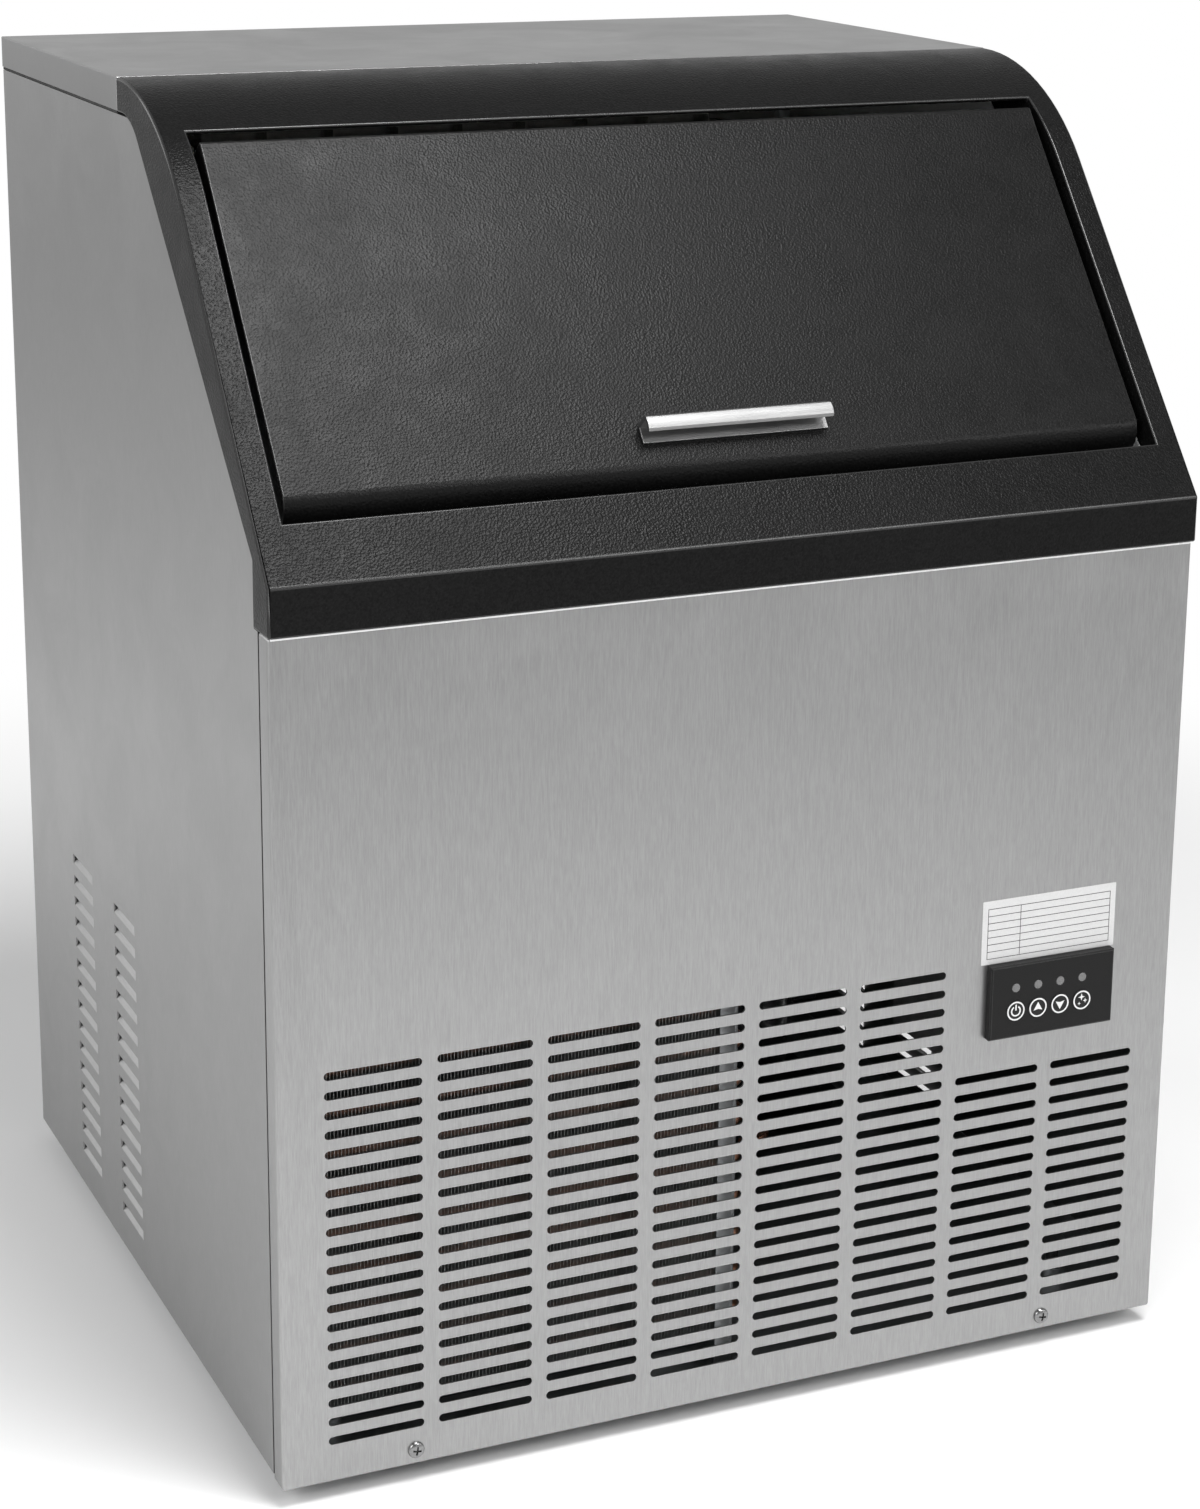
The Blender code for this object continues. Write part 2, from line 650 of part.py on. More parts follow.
def turned(bm, axis, centre, profile, steps, closed=False):
    """A profile of (radius, height) pairs, turned about an axis."""
    sketch = bmesh.new()
    places = list(profile)
    if closed:
        places.append(profile[0])
    else:
        places = [(0, profile[0][1]), *profile, (0, profile[-1][1])]
    corners = [sketch.verts.new((radius, 0, along)) for radius, along in places]
    for pair in zip(corners, corners[1:]):
        sketch.edges.new(pair)
    bmesh.ops.remove_doubles(sketch, verts=sketch.verts, dist=WELD_GAP)
    mesh = bpy.data.meshes.new("profile")
    sketch.to_mesh(mesh)
    sketch.free()
    holder = bpy.data.objects.new("profile", mesh)
    screw = holder.modifiers.new("turn", "SCREW")
    screw.steps = steps
    screw.render_steps = steps
    screw.use_merge_vertices = True
    screw.merge_threshold = WELD_GAP
    add_welded(bm, mesh_of(holder), placing(axis, centre, 0))


def rounded_path(points, bend):
    path = [Vector(points[0])]
    for before, corner, after in zip(points, points[1:], points[2:]):
        corner = Vector(corner)
        back = (Vector(before) - corner).normalized()
        ahead = (Vector(after) - corner).normalized()
        half = back.angle(ahead) / 2
        reach = bend / math.tan(half)
        centre = corner + (back + ahead).normalized() * bend / math.sin(half)
        start = (corner + back * reach - centre).normalized()
        end = (corner + ahead * reach - centre).normalized()
        for k in range(BEND_STEPS + 1):
            path.append(centre + start.slerp(end, k / BEND_STEPS) * bend)
    path.append(Vector(points[-1]))
    return path


def tube(bm, points, radius, bend):
    curve = bpy.data.curves.new("tube", "CURVE")
    curve.dimensions = "3D"
    curve.bevel_depth = radius
    curve.bevel_resolution = PIPE_RING_STEPS
    curve.use_fill_caps = True
    poly_spline(curve, rounded_path(points, bend), False)
    add_welded(bm, mesh_of(bpy.data.objects.new("tube", curve)), Matrix.Identity(4))


def put(name, bm, where, material, pivot):
    bmesh.ops.recalc_face_normals(bm, faces=bm.faces)
    bmesh.ops.translate(bm, verts=bm.verts, vec=-Vector(pivot))
    mesh = bpy.data.meshes.new(name)
    bm.to_mesh(mesh)
    bm.free()
    made = bpy.data.objects.new(name, mesh)
    made.location = pivot
    where.objects.link(made)
    if material:
        mesh.materials.append(material)
    return made


def part(name, bm, pivot=(0, 0, 0)):
    colour, metallic, roughness = LOOKS[LOOK_OF[name]]
    return put(name, bm, PARTS, look(name, colour, metallic, roughness), pivot)


def change(target, operation, bm):
    tool = put(target.name + "_" + operation.lower(), bm, CUTTERS, None, (0, 0, 0))
    tool.display_type = "WIRE"
    step = target.modifiers.new(tool.name, "BOOLEAN")
    step.operation = operation
    step.solver = "EXACT"
    step.object = tool


def cut(target, build):
    bm = bmesh.new()
    build(bm)
    change(target, "DIFFERENCE", bm)


def join(target, build):
    bm = bmesh.new()
    build(bm)
    change(target, "UNION", bm)


def solid(name, build, pivot=(0, 0, 0)):
    bm = bmesh.new()
    build(bm)
    return part(name, bm, pivot)


# Outlines of the front frame


def on_slope(up, deep):
    return (
        -BAND_PROUD + up * math.cos(SLOPE_ANGLE) + deep * math.sin(SLOPE_ANGLE),
        BAND_TOP + up * math.sin(SLOPE_ANGLE) - deep * math.cos(SLOPE_ANGLE),
    )


def on_hood(radius, angle):
    return (
        HOOD_CENTRE_Y + radius * math.cos(angle),
        HOOD_CENTRE_Z + radius * math.sin(angle),
    )


def frame_face(inset):
    bend = inset * (1 - math.sin(SLOPE_ANGLE)) / math.cos(SLOPE_ANGLE)
    points = [(-BAND_PROUD + inset, BAND_BOTTOM + inset), on_slope(bend, inset)]
    first = math.pi / 2 + SLOPE_ANGLE
    for k in range(HOOD_STEPS + 1):
        angle = first - SLOPE_ANGLE * k / HOOD_STEPS
        points.append(on_hood(HOOD_RADIUS - inset, angle))
    return points


def flange_edge(gap, top):
    half = FLANGE_ANGLE / 2
    corner_y = FLANGE_FOOT_Y + (FLANGE_TOP - FLANGE_FOOT_Z) / math.tan(FLANGE_ANGLE)
    centre_y = corner_y + FLANGE_BEND_RADIUS * math.tan(half)
    centre_z = FLANGE_TOP - FLANGE_BEND_RADIUS
    radius = FLANGE_BEND_RADIUS - gap
    first = math.pi - math.asin(min(1, (top - centre_z) / radius))
    last = math.pi / 2 + FLANGE_ANGLE
    points = []
    for k in range(FLANGE_STEPS + 1):
        angle = first + (last - first) * k / FLANGE_STEPS
        points.append((centre_y + radius * math.cos(angle), centre_z + radius * math.sin(angle)))
    foot_y = FLANGE_FOOT_Y + gap
    drop = (points[-1][0] - foot_y) * math.tan(FLANGE_ANGLE)
    points.append((foot_y, points[-1][1] - drop))
    return points


def slot(start, centre_z, length, height):
    radius = height / 2
    points = []
    for centre, first in ((start + length - radius, -1), (start + radius, 1)):
        for k in range(SLOT_END_STEPS + 1):
            angle = first * math.pi / 2 + math.pi * k / SLOT_END_STEPS
            pair = (
                centre + radius * math.cos(angle),
                centre_z + radius * math.sin(angle),
            )
            points.append(pair)
    return points


LOOK_OF = {
    "base_pan": "galvanised",
    "side_left": "steel",
    "side_right": "steel",
    "back_panel": "galvanised",
    "top_cover": "steel",
    "cover_gasket": "rubber",
    "cover_insulation": "foam",
    "front_panel": "steel",
    "fascia": "black_plastic",
    "front_screw_left": "screw_steel",
    "front_screw_right": "screw_steel",
    "control_housing": "black_plastic",
    "electrical_box": "galvanised",
    "door_outer": "black_plastic",
    "door_liner": "white_plastic",
    "door_handle": "aluminium",
    "door_arm_left": "white_plastic",
    "door_arm_right": "white_plastic",
    "bin_liner": "white_plastic",
    "bin_insulation": "foam",
    "bin_deck": "galvanised",
    "drain_hose": "rubber",
    "drain_spigot": "white_plastic",
    "evaporator": "nickel",
    "evaporator_coil": "copper",
    "water_distributor": "white_plastic",
    "water_trough": "white_plastic",
    "splash_curtain": "clear_plastic",
    "circulation_pump": "black_plastic",
    "pump_hose": "clear_plastic",
    "float_ring": "white_plastic",
    "water_inlet_valve": "white_plastic",
    "compressor": "black_paint",
    "condenser": "aluminium",
    "fan_shroud": "galvanised",
    "fan_motor": "black_paint",
    "fan_blades": "aluminium",
    "fan_bracket": "galvanised",
    "filter_drier": "copper",
    "discharge_pipe": "copper",
    "suction_pipe": "copper",
    "cord_gland": "black_plastic",
}
for place in ("front_left", "front_right", "rear_left", "rear_right"):
    LOOK_OF["foot_" + place] = "black_plastic"
for number in range(1, CONTROL_COUNT + 1):
    LOOK_OF[f"indicator_{number}"] = "clear_plastic"
    LOOK_OF[f"button_{number}"] = "black_plastic"
    LOOK_OF[f"compressor_grommet_{number}"] = "rubber"


# Cabinet


def feet_places():
    return {
        "foot_front_left": (-FOOT_X, FOOT_FRONT_Y),
        "foot_front_right": (FOOT_X, FOOT_FRONT_Y),
        "foot_rear_left": (-FOOT_X, FOOT_REAR_Y),
        "foot_rear_right": (FOOT_X, FOOT_REAR_Y),
    }


def make_base():
    front = SHEET + FIT_GAP
    pan = solid(
        "base_pan",
        lambda bm: block(
            bm, (-INNER_HALF, INNER_HALF), (front, INSIDE_BACK), (SIDE_BOTTOM, PAN_FLANGE_TOP)
        ),
    )
    cut(
        pan,
        lambda bm: block(
            bm,
            (SHEET - INNER_HALF, INNER_HALF - SHEET),
            (front + SHEET, INSIDE_BACK - SHEET),
            (PAN_TOP, PAN_FLANGE_TOP + PAN_TOP),
        ),
    )

    def bosses(bm):
        for x, y in feet_places().values():
            low = (SIDE_BOTTOM + PAN_TOP) / 2
            cylinder(bm, "z", (x, y), FOOT_BOSS_RADIUS, low, FOOT_BOSS_TOP, COARSE_STEPS)

    def holes(bm):
        for x, y in feet_places().values():
            radius = FOOT_STUD_RADIUS + FIT_GAP
            cylinder(bm, "z", (x, y), radius, 0, PAN_FLANGE_TOP, COARSE_STEPS)
        for x in (-SCREW_X, SCREW_X):
            far = front + SHEET * 2
            cylinder(bm, "y", (x, SCREW_Z), SCREW_HOLE_RADIUS, 0, far, COARSE_STEPS)

    join(pan, bosses)
    cut(pan, holes)
    for name, centre in feet_places().items():
        low = -FOOT_PROJECTION
        pad_top = low + FOOT_PAD_HEIGHT
        profile = [
            (0, low),
            (FOOT_PAD_RADIUS, low),
            (FOOT_PAD_RADIUS, pad_top - FOOT_EDGE),
            (FOOT_PAD_RADIUS - FOOT_EDGE, pad_top),
            (FOOT_STUD_RADIUS, pad_top),
            (FOOT_STUD_RADIUS, FOOT_STUD_TOP),
            (0, FOOT_STUD_TOP),
        ]
        solid(
            name,
            lambda bm: turned(bm, "z", centre, profile, COARSE_STEPS),
            (centre[0], centre[1], low),
        )


def side_outline():
    start = PANEL_RETURN + FIT_GAP
    shoulder = BAND_BOTTOM - FIT_GAP
    points = [(start, SIDE_BOTTOM), (CABINET_DEPTH, SIDE_BOTTOM), (CABINET_DEPTH, SIDE_TOP)]
    points += flange_edge(FIT_GAP, SIDE_TOP)
    points += [(FLANGE_FOOT_Y + FIT_GAP, shoulder), (start, shoulder)]
    return points


def make_side(name, hand):
    inner = SIDE_INNER - SIDE_FLANGE
    side = solid(name, lambda bm: prism(bm, "x", side_outline(), hand * inner, hand * HALF))
    tail = BACK_FACE - FIT_GAP

    def hollow(bm):
        shape = [(-SHEET, 0), (CABINET_DEPTH * 2, 0), (CABINET_DEPTH * 2, COVER_TOP)]
        shape += [(tail, COVER_TOP), (tail, SIDE_TOP - SHEET), (-SHEET, SIDE_TOP - SHEET)]
        prism(bm, "x", shape, hand * (inner - SHEET), hand * SIDE_INNER)

    cut(side, hollow)
    flaps = []
    for start in LOUVRE_COLUMN_STARTS:
        for k in range(LOUVRE_COUNT):
            flaps.append((start, LOUVRE_FIRST_TOP + k * LOUVRE_PITCH - LOUVRE_HEIGHT))

    def slots(bm):
        for start, low in flaps:
            near = hand * (SIDE_INNER - SHEET)
            far = hand * (HALF + SHEET)
            block(bm, (near, far), (start, start + LOUVRE_LENGTH), (low, low + LOUVRE_HEIGHT))

    cut(side, slots)

    def louvres(bm):
        outer = LOUVRE_INSET
        inner = SHEET - LOUVRE_INSET
        for start, low in flaps:
            shape = [
                (outer, low - LOUVRE_ROOT),
                (inner, low - LOUVRE_ROOT),
                (LOUVRE_REACH + LOUVRE_METAL / 2, low + LOUVRE_RISE - LOUVRE_METAL / 2),
                (LOUVRE_REACH, low + LOUVRE_RISE + LOUVRE_METAL / 2),
                (outer, low + LOUVRE_INSET),
            ]
            shape = [(hand * (HALF - u), z) for u, z in shape]
            prism(bm, "y", shape, start + FIT_GAP, start + LOUVRE_LENGTH - FIT_GAP)

    join(side, louvres)


def make_back():
    front = CABINET_DEPTH - BACK_FLANGE
    back = solid(
        "back_panel",
        lambda bm: block(
            bm, (-INNER_HALF, INNER_HALF), (front, CABINET_DEPTH), (SIDE_BOTTOM, SIDE_TOP)
        ),
    )

    def hollow(bm):
        half = SIDE_INNER - SIDE_FLANGE - FIT_GAP
        low = SIDE_TOP - SHEET
        shape = [(-HALF, 0), (HALF, 0), (HALF, COVER_TOP), (half, COVER_TOP)]
        shape += [(half, low), (-half, low), (-half, COVER_TOP), (-HALF, COVER_TOP)]
        prism(bm, "y", shape, front - SHEET, BACK_FACE)

    def holes(bm):
        near = BACK_FACE - SHEET
        far = CABINET_DEPTH + SHEET
        for i in range(VENT_COLUMNS):
            middle = (i - (VENT_COLUMNS - 1) / 2) * VENT_PITCH_X
            sides = (middle - VENT_LENGTH / 2, middle + VENT_LENGTH / 2)
            for k in range(VENT_ROWS):
                low = VENT_FIRST_Z + k * VENT_PITCH_Z
                block(bm, sides, (near, far), (low, low + VENT_HEIGHT))
        for x, z, radius in (
            (VALVE_X, VALVE_Z, NIPPLE_RADIUS),
            (DRAIN_X, DRAIN_LOW, SPIGOT_RADIUS),
            (GLAND_X, GLAND_Z, GLAND_RADIUS),
        ):
            cylinder(bm, "y", (x, z), radius + FIT_GAP, near, far)

    cut(back, hollow)
    cut(back, holes)


def make_cover():
    outer = HALF + OVERHANG
    back = CABINET_DEPTH + OVERHANG
    cover = solid(
        "top_cover",
        lambda bm: block(
            bm, (-outer, outer), (COVER_FRONT, back), (COVER_SKIRT_BOTTOM, COVER_TOP)
        ),
    )
    cut(
        cover,
        lambda bm: block(
            bm,
            (SHEET - outer, outer - SHEET),
            (COVER_FRONT + SHEET, back - SHEET),
            (COVER_SKIRT_BOTTOM + SHEET, COVER_TOP - SHEET),
        ),
    )
    cut(
        cover,
        lambda bm: block(
            bm,
            (-DOOR_SWEEP_HALF, DOOR_SWEEP_HALF),
            (COVER_FRONT - COVER_RETURN, back - COVER_RETURN),
            (SIDE_TOP, DOOR_SWEEP_TOP),
        ),
    )
    low = SIDE_TOP + FIT_GAP
    high = COVER_SKIRT_BOTTOM - FIT_GAP
    inner = SIDE_INNER - SIDE_FLANGE
    front = COVER_FRONT + SHEET
    tail = CABINET_DEPTH - BACK_FLANGE
    strip = [
        (-HALF, front),
        (-inner, front),
        (-inner, tail),
        (inner, tail),
        (inner, front),
        (HALF, front),
        (HALF, CABINET_DEPTH),
        (-HALF, CABINET_DEPTH),
    ]
    solid("cover_gasket", lambda bm: prism(bm, "z", strip, low, high))
    solid(
        "cover_insulation",
        lambda bm: block(
            bm,
            (-INSULATION_HALF, INSULATION_HALF),
            (INSULATION_FRONT, INSULATION_BACK),
            (INSULATION_BOTTOM, COVER_TOP - SHEET - FIT_GAP),
        ),
    )


def make_front_panel():
    top = BAND_BOTTOM - FIT_GAP
    panel = solid(
        "front_panel",
        lambda bm: block(bm, (-HALF, HALF), (0, PANEL_RETURN), (0, top)),
    )
    cut(
        panel,
        lambda bm: block(
            bm, (SHEET - HALF, HALF - SHEET), (SHEET, PANEL_RETURN * 2), (SHEET, top - SHEET)
        ),
    )

    def slots(bm):
        for i in range(SLOT_COLUMNS):
            start = SLOT_FIRST_X + i * SLOT_PITCH_X
            short = i >= SLOT_COLUMNS - SLOT_SHORT_COLUMNS
            for k in range(SLOT_SHORT_ROWS if short else SLOT_ROWS):
                level = SLOT_FIRST_Z + k * SLOT_PITCH_Z
                prism(bm, "y", slot(start, level, SLOT_LENGTH, SLOT_HEIGHT), -SHEET, SHEET * 2)

    cut(panel, slots)

    def trims(bm):
        for x in (-SCREW_X, SCREW_X):
            cylinder(bm, "y", (x, SCREW_Z), SCREW_HOLE_RADIUS, -SHEET, SHEET * 2, COARSE_STEPS)

    cut(panel, trims)
    for name, x in (("front_screw_left", -SCREW_X), ("front_screw_right", SCREW_X)):
        face = -FIT_GAP
        crown = face - SCREW_HEAD_HEIGHT
        profile = [
            (0, crown),
            (SCREW_HEAD_RADIUS * SCREW_CROWN_SHARE, crown),
            (SCREW_HEAD_RADIUS * SCREW_SHOULDER_SHARE, crown + SCREW_HEAD_HEIGHT / 3),
            (SCREW_HEAD_RADIUS, face),
            (SCREW_SHANK_RADIUS, face),
            (SCREW_SHANK_RADIUS, SCREW_LENGTH),
            (0, SCREW_LENGTH),
        ]
        screw = solid(name, lambda bm: turned(bm, "y", (x, SCREW_Z), profile, COARSE_STEPS))

        def recess(bm, wide, tall):
            depth = (crown - RECESS_DEPTH, crown + RECESS_DEPTH)
            sides = (x - wide / 2, x + wide / 2)
            block(bm, sides, depth, (SCREW_Z - tall / 2, SCREW_Z + tall / 2))

        cut(screw, lambda bm: recess(bm, RECESS_LENGTH, RECESS_WIDTH))
        cut(screw, lambda bm: recess(bm, RECESS_WIDTH, RECESS_LENGTH))


def make_fascia():
    half = HALF + OVERHANG
    outline = frame_face(0)
    outline.append((COVER_FRONT - FIT_GAP, outline[-1][1]))
    outline.append((COVER_FRONT - FIT_GAP, FLANGE_TOP))
    outline += flange_edge(0, FLANGE_TOP)
    outline.append((FLANGE_FOOT_Y, BAND_BOTTOM))
    bm = bmesh.new()
    prism(bm, "x", outline, -half, half)
    seen = [Vector(pair) for pair in outline[: HOOD_STEPS + 4]]

    def on_face(vert):
        return min((vert.co.yz - corner).length for corner in seen) < WELD_GAP

    ends = [e for e in bm.edges if abs(e.verts[0].co.x - e.verts[1].co.x) < WELD_GAP]
    edges = [e for e in ends if all(on_face(vert) for vert in e.verts)]
    bmesh.ops.recalc_face_normals(bm, faces=bm.faces)
    bmesh.ops.bevel(
        bm,
        geom=edges,
        offset=FRAME_EDGE_RADIUS,
        segments=FRAME_EDGE_STEPS,
        profile=0.5,
        affect="EDGES",
        material=-1,
    )
    fascia = part("fascia", bm)
    deep = COVER_FRONT + CUT_REACH
    low = BAND_BOTTOM + FRAME_SKIN
    inside = frame_face(FRAME_SKIN)
    inside += [(deep, inside[-1][1]), (deep, low)]

    def side_pockets(bm):
        for hand in (-1, 1):
            near = hand * (OPENING_HALF + OPENING_WALL)
            far = hand * (half - FRAME_SKIN)
            prism(bm, "x", inside, near, far)

    def sill_pocket(bm):
        bend = FRAME_SKIN * (1 - math.sin(SLOPE_ANGLE)) / math.cos(SLOPE_ANGLE)
        top = OPENING_SILL - FRAME_SKIN
        shape = [(FRAME_SKIN - BAND_PROUD, low), on_slope(bend, FRAME_SKIN)]
        shape += [on_slope(top, FRAME_SKIN), on_slope(top, CUT_REACH / 2)]
        shape.append((shape[-1][0], low))
        prism(bm, "x", shape, -OPENING_HALF, OPENING_HALF)

    def opening(bm):
        shape = [on_slope(OPENING_SILL, -CUT_REACH), on_slope(OPENING_SILL, CUT_REACH)]
        shape += [(deep, shape[-1][1]), (deep, HOOD_CENTRE_Z + HOOD_RADIUS - FRAME_SKIN)]
        count = HOOD_STEPS
        first = math.pi / 2
        for k in range(count + 1):
            angle = first + (OPENING_TOP_ANGLE - first) * k / count
            shape.append(on_hood(HOOD_RADIUS - FRAME_SKIN, angle))
        shape.append(on_hood(HOOD_RADIUS + CUT_REACH, OPENING_TOP_ANGLE))
        prism(bm, "x", shape, -OPENING_HALF, OPENING_HALF)

    cut(fascia, side_pockets)
    cut(fascia, sill_pocket)
    cut(fascia, opening)


# Controls


def control_places():
    return [CONTROL_FIRST_X + k * CONTROL_PITCH for k in range(CONTROL_COUNT)]


def make_controls():
    face = -CONTROL_PROUD
    edge = CONTROL_EDGE
    bm = bmesh.new()
    block(
        bm,
        (CONTROL_LEFT, CONTROL_RIGHT),
        (face, -FIT_GAP),
        (CONTROL_BOTTOM, CONTROL_TOP),
    )
    front = [e for e in bm.edges if all(v.co.y < (face - FIT_GAP) / 2 for v in e.verts)]
    bmesh.ops.bevel(
        bm, geom=front, offset=edge, segments=1, profile=0.5, affect="EDGES", material=-1
    )
    housing = part("control_housing", bm)

    def bores(bm):
        for x in control_places():
            ring = BUTTON_RADIUS + BUTTON_CLEARANCE
            cylinder(bm, "y", (x, BUTTON_Z), ring, face - edge, face + BUTTON_DEPTH)
            ring = INDICATOR_RADIUS + FIT_GAP
            far = face + INDICATOR_DEPTH + FIT_GAP
            cylinder(bm, "y", (x, INDICATOR_Z), ring, face - edge, far, COARSE_STEPS)

    cut(housing, bores)
    for number, x in enumerate(control_places(), 1):
        tip = face - BUTTON_PROUD
        tail = face + BUTTON_DEPTH - BUTTON_TRAVEL - FIT_GAP
        cap = [
            (0, tip),
            (BUTTON_RADIUS / 2, tip + BUTTON_PROUD / 4),
            (BUTTON_RADIUS - BUTTON_PROUD, tip + BUTTON_PROUD / 2),
            (BUTTON_RADIUS, face),
            (BUTTON_RADIUS, tail),
            (0, tail),
        ]
        solid(
            f"button_{number}",
            lambda bm: turned(bm, "y", (x, BUTTON_Z), cap, ROUND_STEPS),
            (x, tail, BUTTON_Z),
        )
        tip = face - INDICATOR_PROUD
        tail = face + INDICATOR_DEPTH
        lens = [
            (0, tip),
            (INDICATOR_RADIUS / 2, tip + INDICATOR_PROUD / 4),
            (INDICATOR_RADIUS, face),
            (INDICATOR_RADIUS, tail),
            (0, tail),
        ]
        solid(
            f"indicator_{number}",
            lambda bm: turned(bm, "y", (x, INDICATOR_Z), lens, COARSE_STEPS),
        )

    def case(bm):
        top = DECK_BOTTOM - FIT_GAP
        block(
            bm,
            (ELECTRICS_LEFT, ELECTRICS_RIGHT),
            (ELECTRICS_FRONT, ELECTRICS_BACK),
            (ELECTRICS_BOTTOM, top),
        )

    box = solid("electrical_box", case)

    def lid_line(bm):
        lid = ELECTRICS_LID
        block(
            bm,
            (ELECTRICS_LEFT + lid, ELECTRICS_RIGHT - lid),
            (ELECTRICS_BACK - lid, ELECTRICS_BACK + lid),
            (ELECTRICS_BOTTOM + lid, DECK_BOTTOM - lid),
        )

    cut(box, lid_line)


# Door


def make_door():
    top_centre = DOOR_TOP - DOOR_TOP_RADIUS
    rise = (DOOR_FOLD - DOOR_FOOT) / (1 - math.sin(DOOR_CREASE))
    depth = DOOR_THICK / math.cos(DOOR_CREASE)
    outline = []
    for k in range(DOOR_ROLL_STEPS + 1):
        angle = math.pi / 2 + (DOOR_CREASE - math.pi / 2) * k / DOOR_ROLL_STEPS
        up = DOOR_FOOT + rise * (1 - math.sin(angle))
        outline.append((up, DOOR_BACK - depth * math.cos(angle)))
    for k in range(DOOR_TOP_STEPS + 1):
        angle = math.pi / 2 * k / DOOR_TOP_STEPS
        up = top_centre + DOOR_TOP_RADIUS * math.sin(angle)
        deep = DOOR_FACE + DOOR_TOP_RADIUS * (1 - math.cos(angle))
        outline.append((up, deep))
    outline.append((DOOR_TOP, DOOR_BACK))
    pivot = (0, PIVOT_Y, PIVOT_Z)
    shape = [on_slope(*pair) for pair in outline]
    door = solid("door_outer", lambda bm: prism(bm, "x", shape, -DOOR_HALF, DOOR_HALF), pivot)
    inner = DOOR_HALF - DOOR_SKIN
    low = DOOR_FOLD
    high = DOOR_TOP - DOOR_SKIN * 2
    bed = DOOR_FACE + DOOR_SKIN

    def pocket(bm):
        pairs = [(low, bed), (high, bed), (high, DOOR_BACK * 2), (low, DOOR_BACK * 2)]
        prism(bm, "x", [on_slope(*pair) for pair in pairs], -inner, inner)

    cut(door, pocket)

    def panel(bm):
        gap = FIT_GAP
        pairs = [
            (low + gap, bed + gap),
            (high - gap, bed + gap),
            (high - gap, DOOR_BACK),
            (low + gap, DOOR_BACK),
        ]
        prism(bm, "x", [on_slope(*pair) for pair in pairs], gap - inner, inner - gap)

    solid("door_liner", panel, pivot)
    seat = DOOR_FACE - FIT_GAP
    plate = seat - HANDLE_METAL
    crown = -HANDLE_STAND - HANDLE_CROWN
    lip = HANDLE_LIP_LOW
    width = HANDLE_HIGH - lip
    section = [
        (HANDLE_LOW, seat),
        (HANDLE_HIGH, seat),
        (HANDLE_HIGH, -HANDLE_STAND),
        (HANDLE_HIGH - width / 8, crown + HANDLE_CROWN / 3),
        (HANDLE_HIGH - width / 2, crown),
        (lip + width / 8, crown + HANDLE_CROWN / 3),
        (lip, crown + HANDLE_CROWN),
        (lip + width / 8, crown + HANDLE_CROWN + HANDLE_METAL / 3),
        (HANDLE_HIGH - width / 2, crown + HANDLE_WEB),
        (HANDLE_HIGH - HANDLE_WEB, crown + HANDLE_CROWN + HANDLE_METAL / 3),
        (HANDLE_HIGH - HANDLE_WEB, plate),
        (HANDLE_LOW, plate),
    ]
    shape_h = [on_slope(*pair) for pair in section]
    solid(
        "door_handle",
        lambda bm: prism(bm, "x", shape_h, HANDLE_LEFT, HANDLE_RIGHT),
        pivot,
    )
    for name, hand in (("door_arm_left", -1), ("door_arm_right", 1)):
        make_arm(name, hand, pivot)


def make_arm(name, hand, pivot):
    seat = DOOR_BACK + FIT_GAP
    pairs = [on_slope(ARM_LOW, seat), on_slope(ARM_HIGH, seat)]
    away = math.atan2(pairs[1][1] - PIVOT_Z, pairs[1][0] - PIVOT_Y) - math.pi / 2
    back = math.atan2(pairs[0][1] - PIVOT_Z, pairs[0][0] - PIVOT_Y) + math.pi / 2
    for k in range(COARSE_STEPS // 2 + 1):
        turn = away + (back - math.tau - away) * k / (COARSE_STEPS // 2)
        pairs.append(
            (PIVOT_Y + HUB_RADIUS * math.cos(turn), PIVOT_Z + HUB_RADIUS * math.sin(turn))
        )
    arm = solid(
        name,
        lambda bm: prism(bm, "x", pairs, hand * ARM_INNER, hand * ARM_OUTER),
        pivot,
    )

    def mount(bm):
        thick = seat + ARM_FOOT_THICK
        corners = [(ARM_LOW, seat), (ARM_HIGH, seat), (ARM_HIGH, thick), (ARM_LOW, thick)]
        shape = [on_slope(*pair) for pair in corners]
        near = hand * (ARM_OUTER - ARM_FOOT_WIDTH)
        prism(bm, "x", shape, near, hand * (ARM_INNER + ARM_OUTER) / 2)

    def pin(bm):
        near = hand * (ARM_INNER + ARM_OUTER) / 2
        cylinder(bm, "x", (PIVOT_Y, PIVOT_Z), PIVOT_RADIUS, near, hand * PIN_END)

    join(arm, mount)
    join(arm, pin)


# Bin


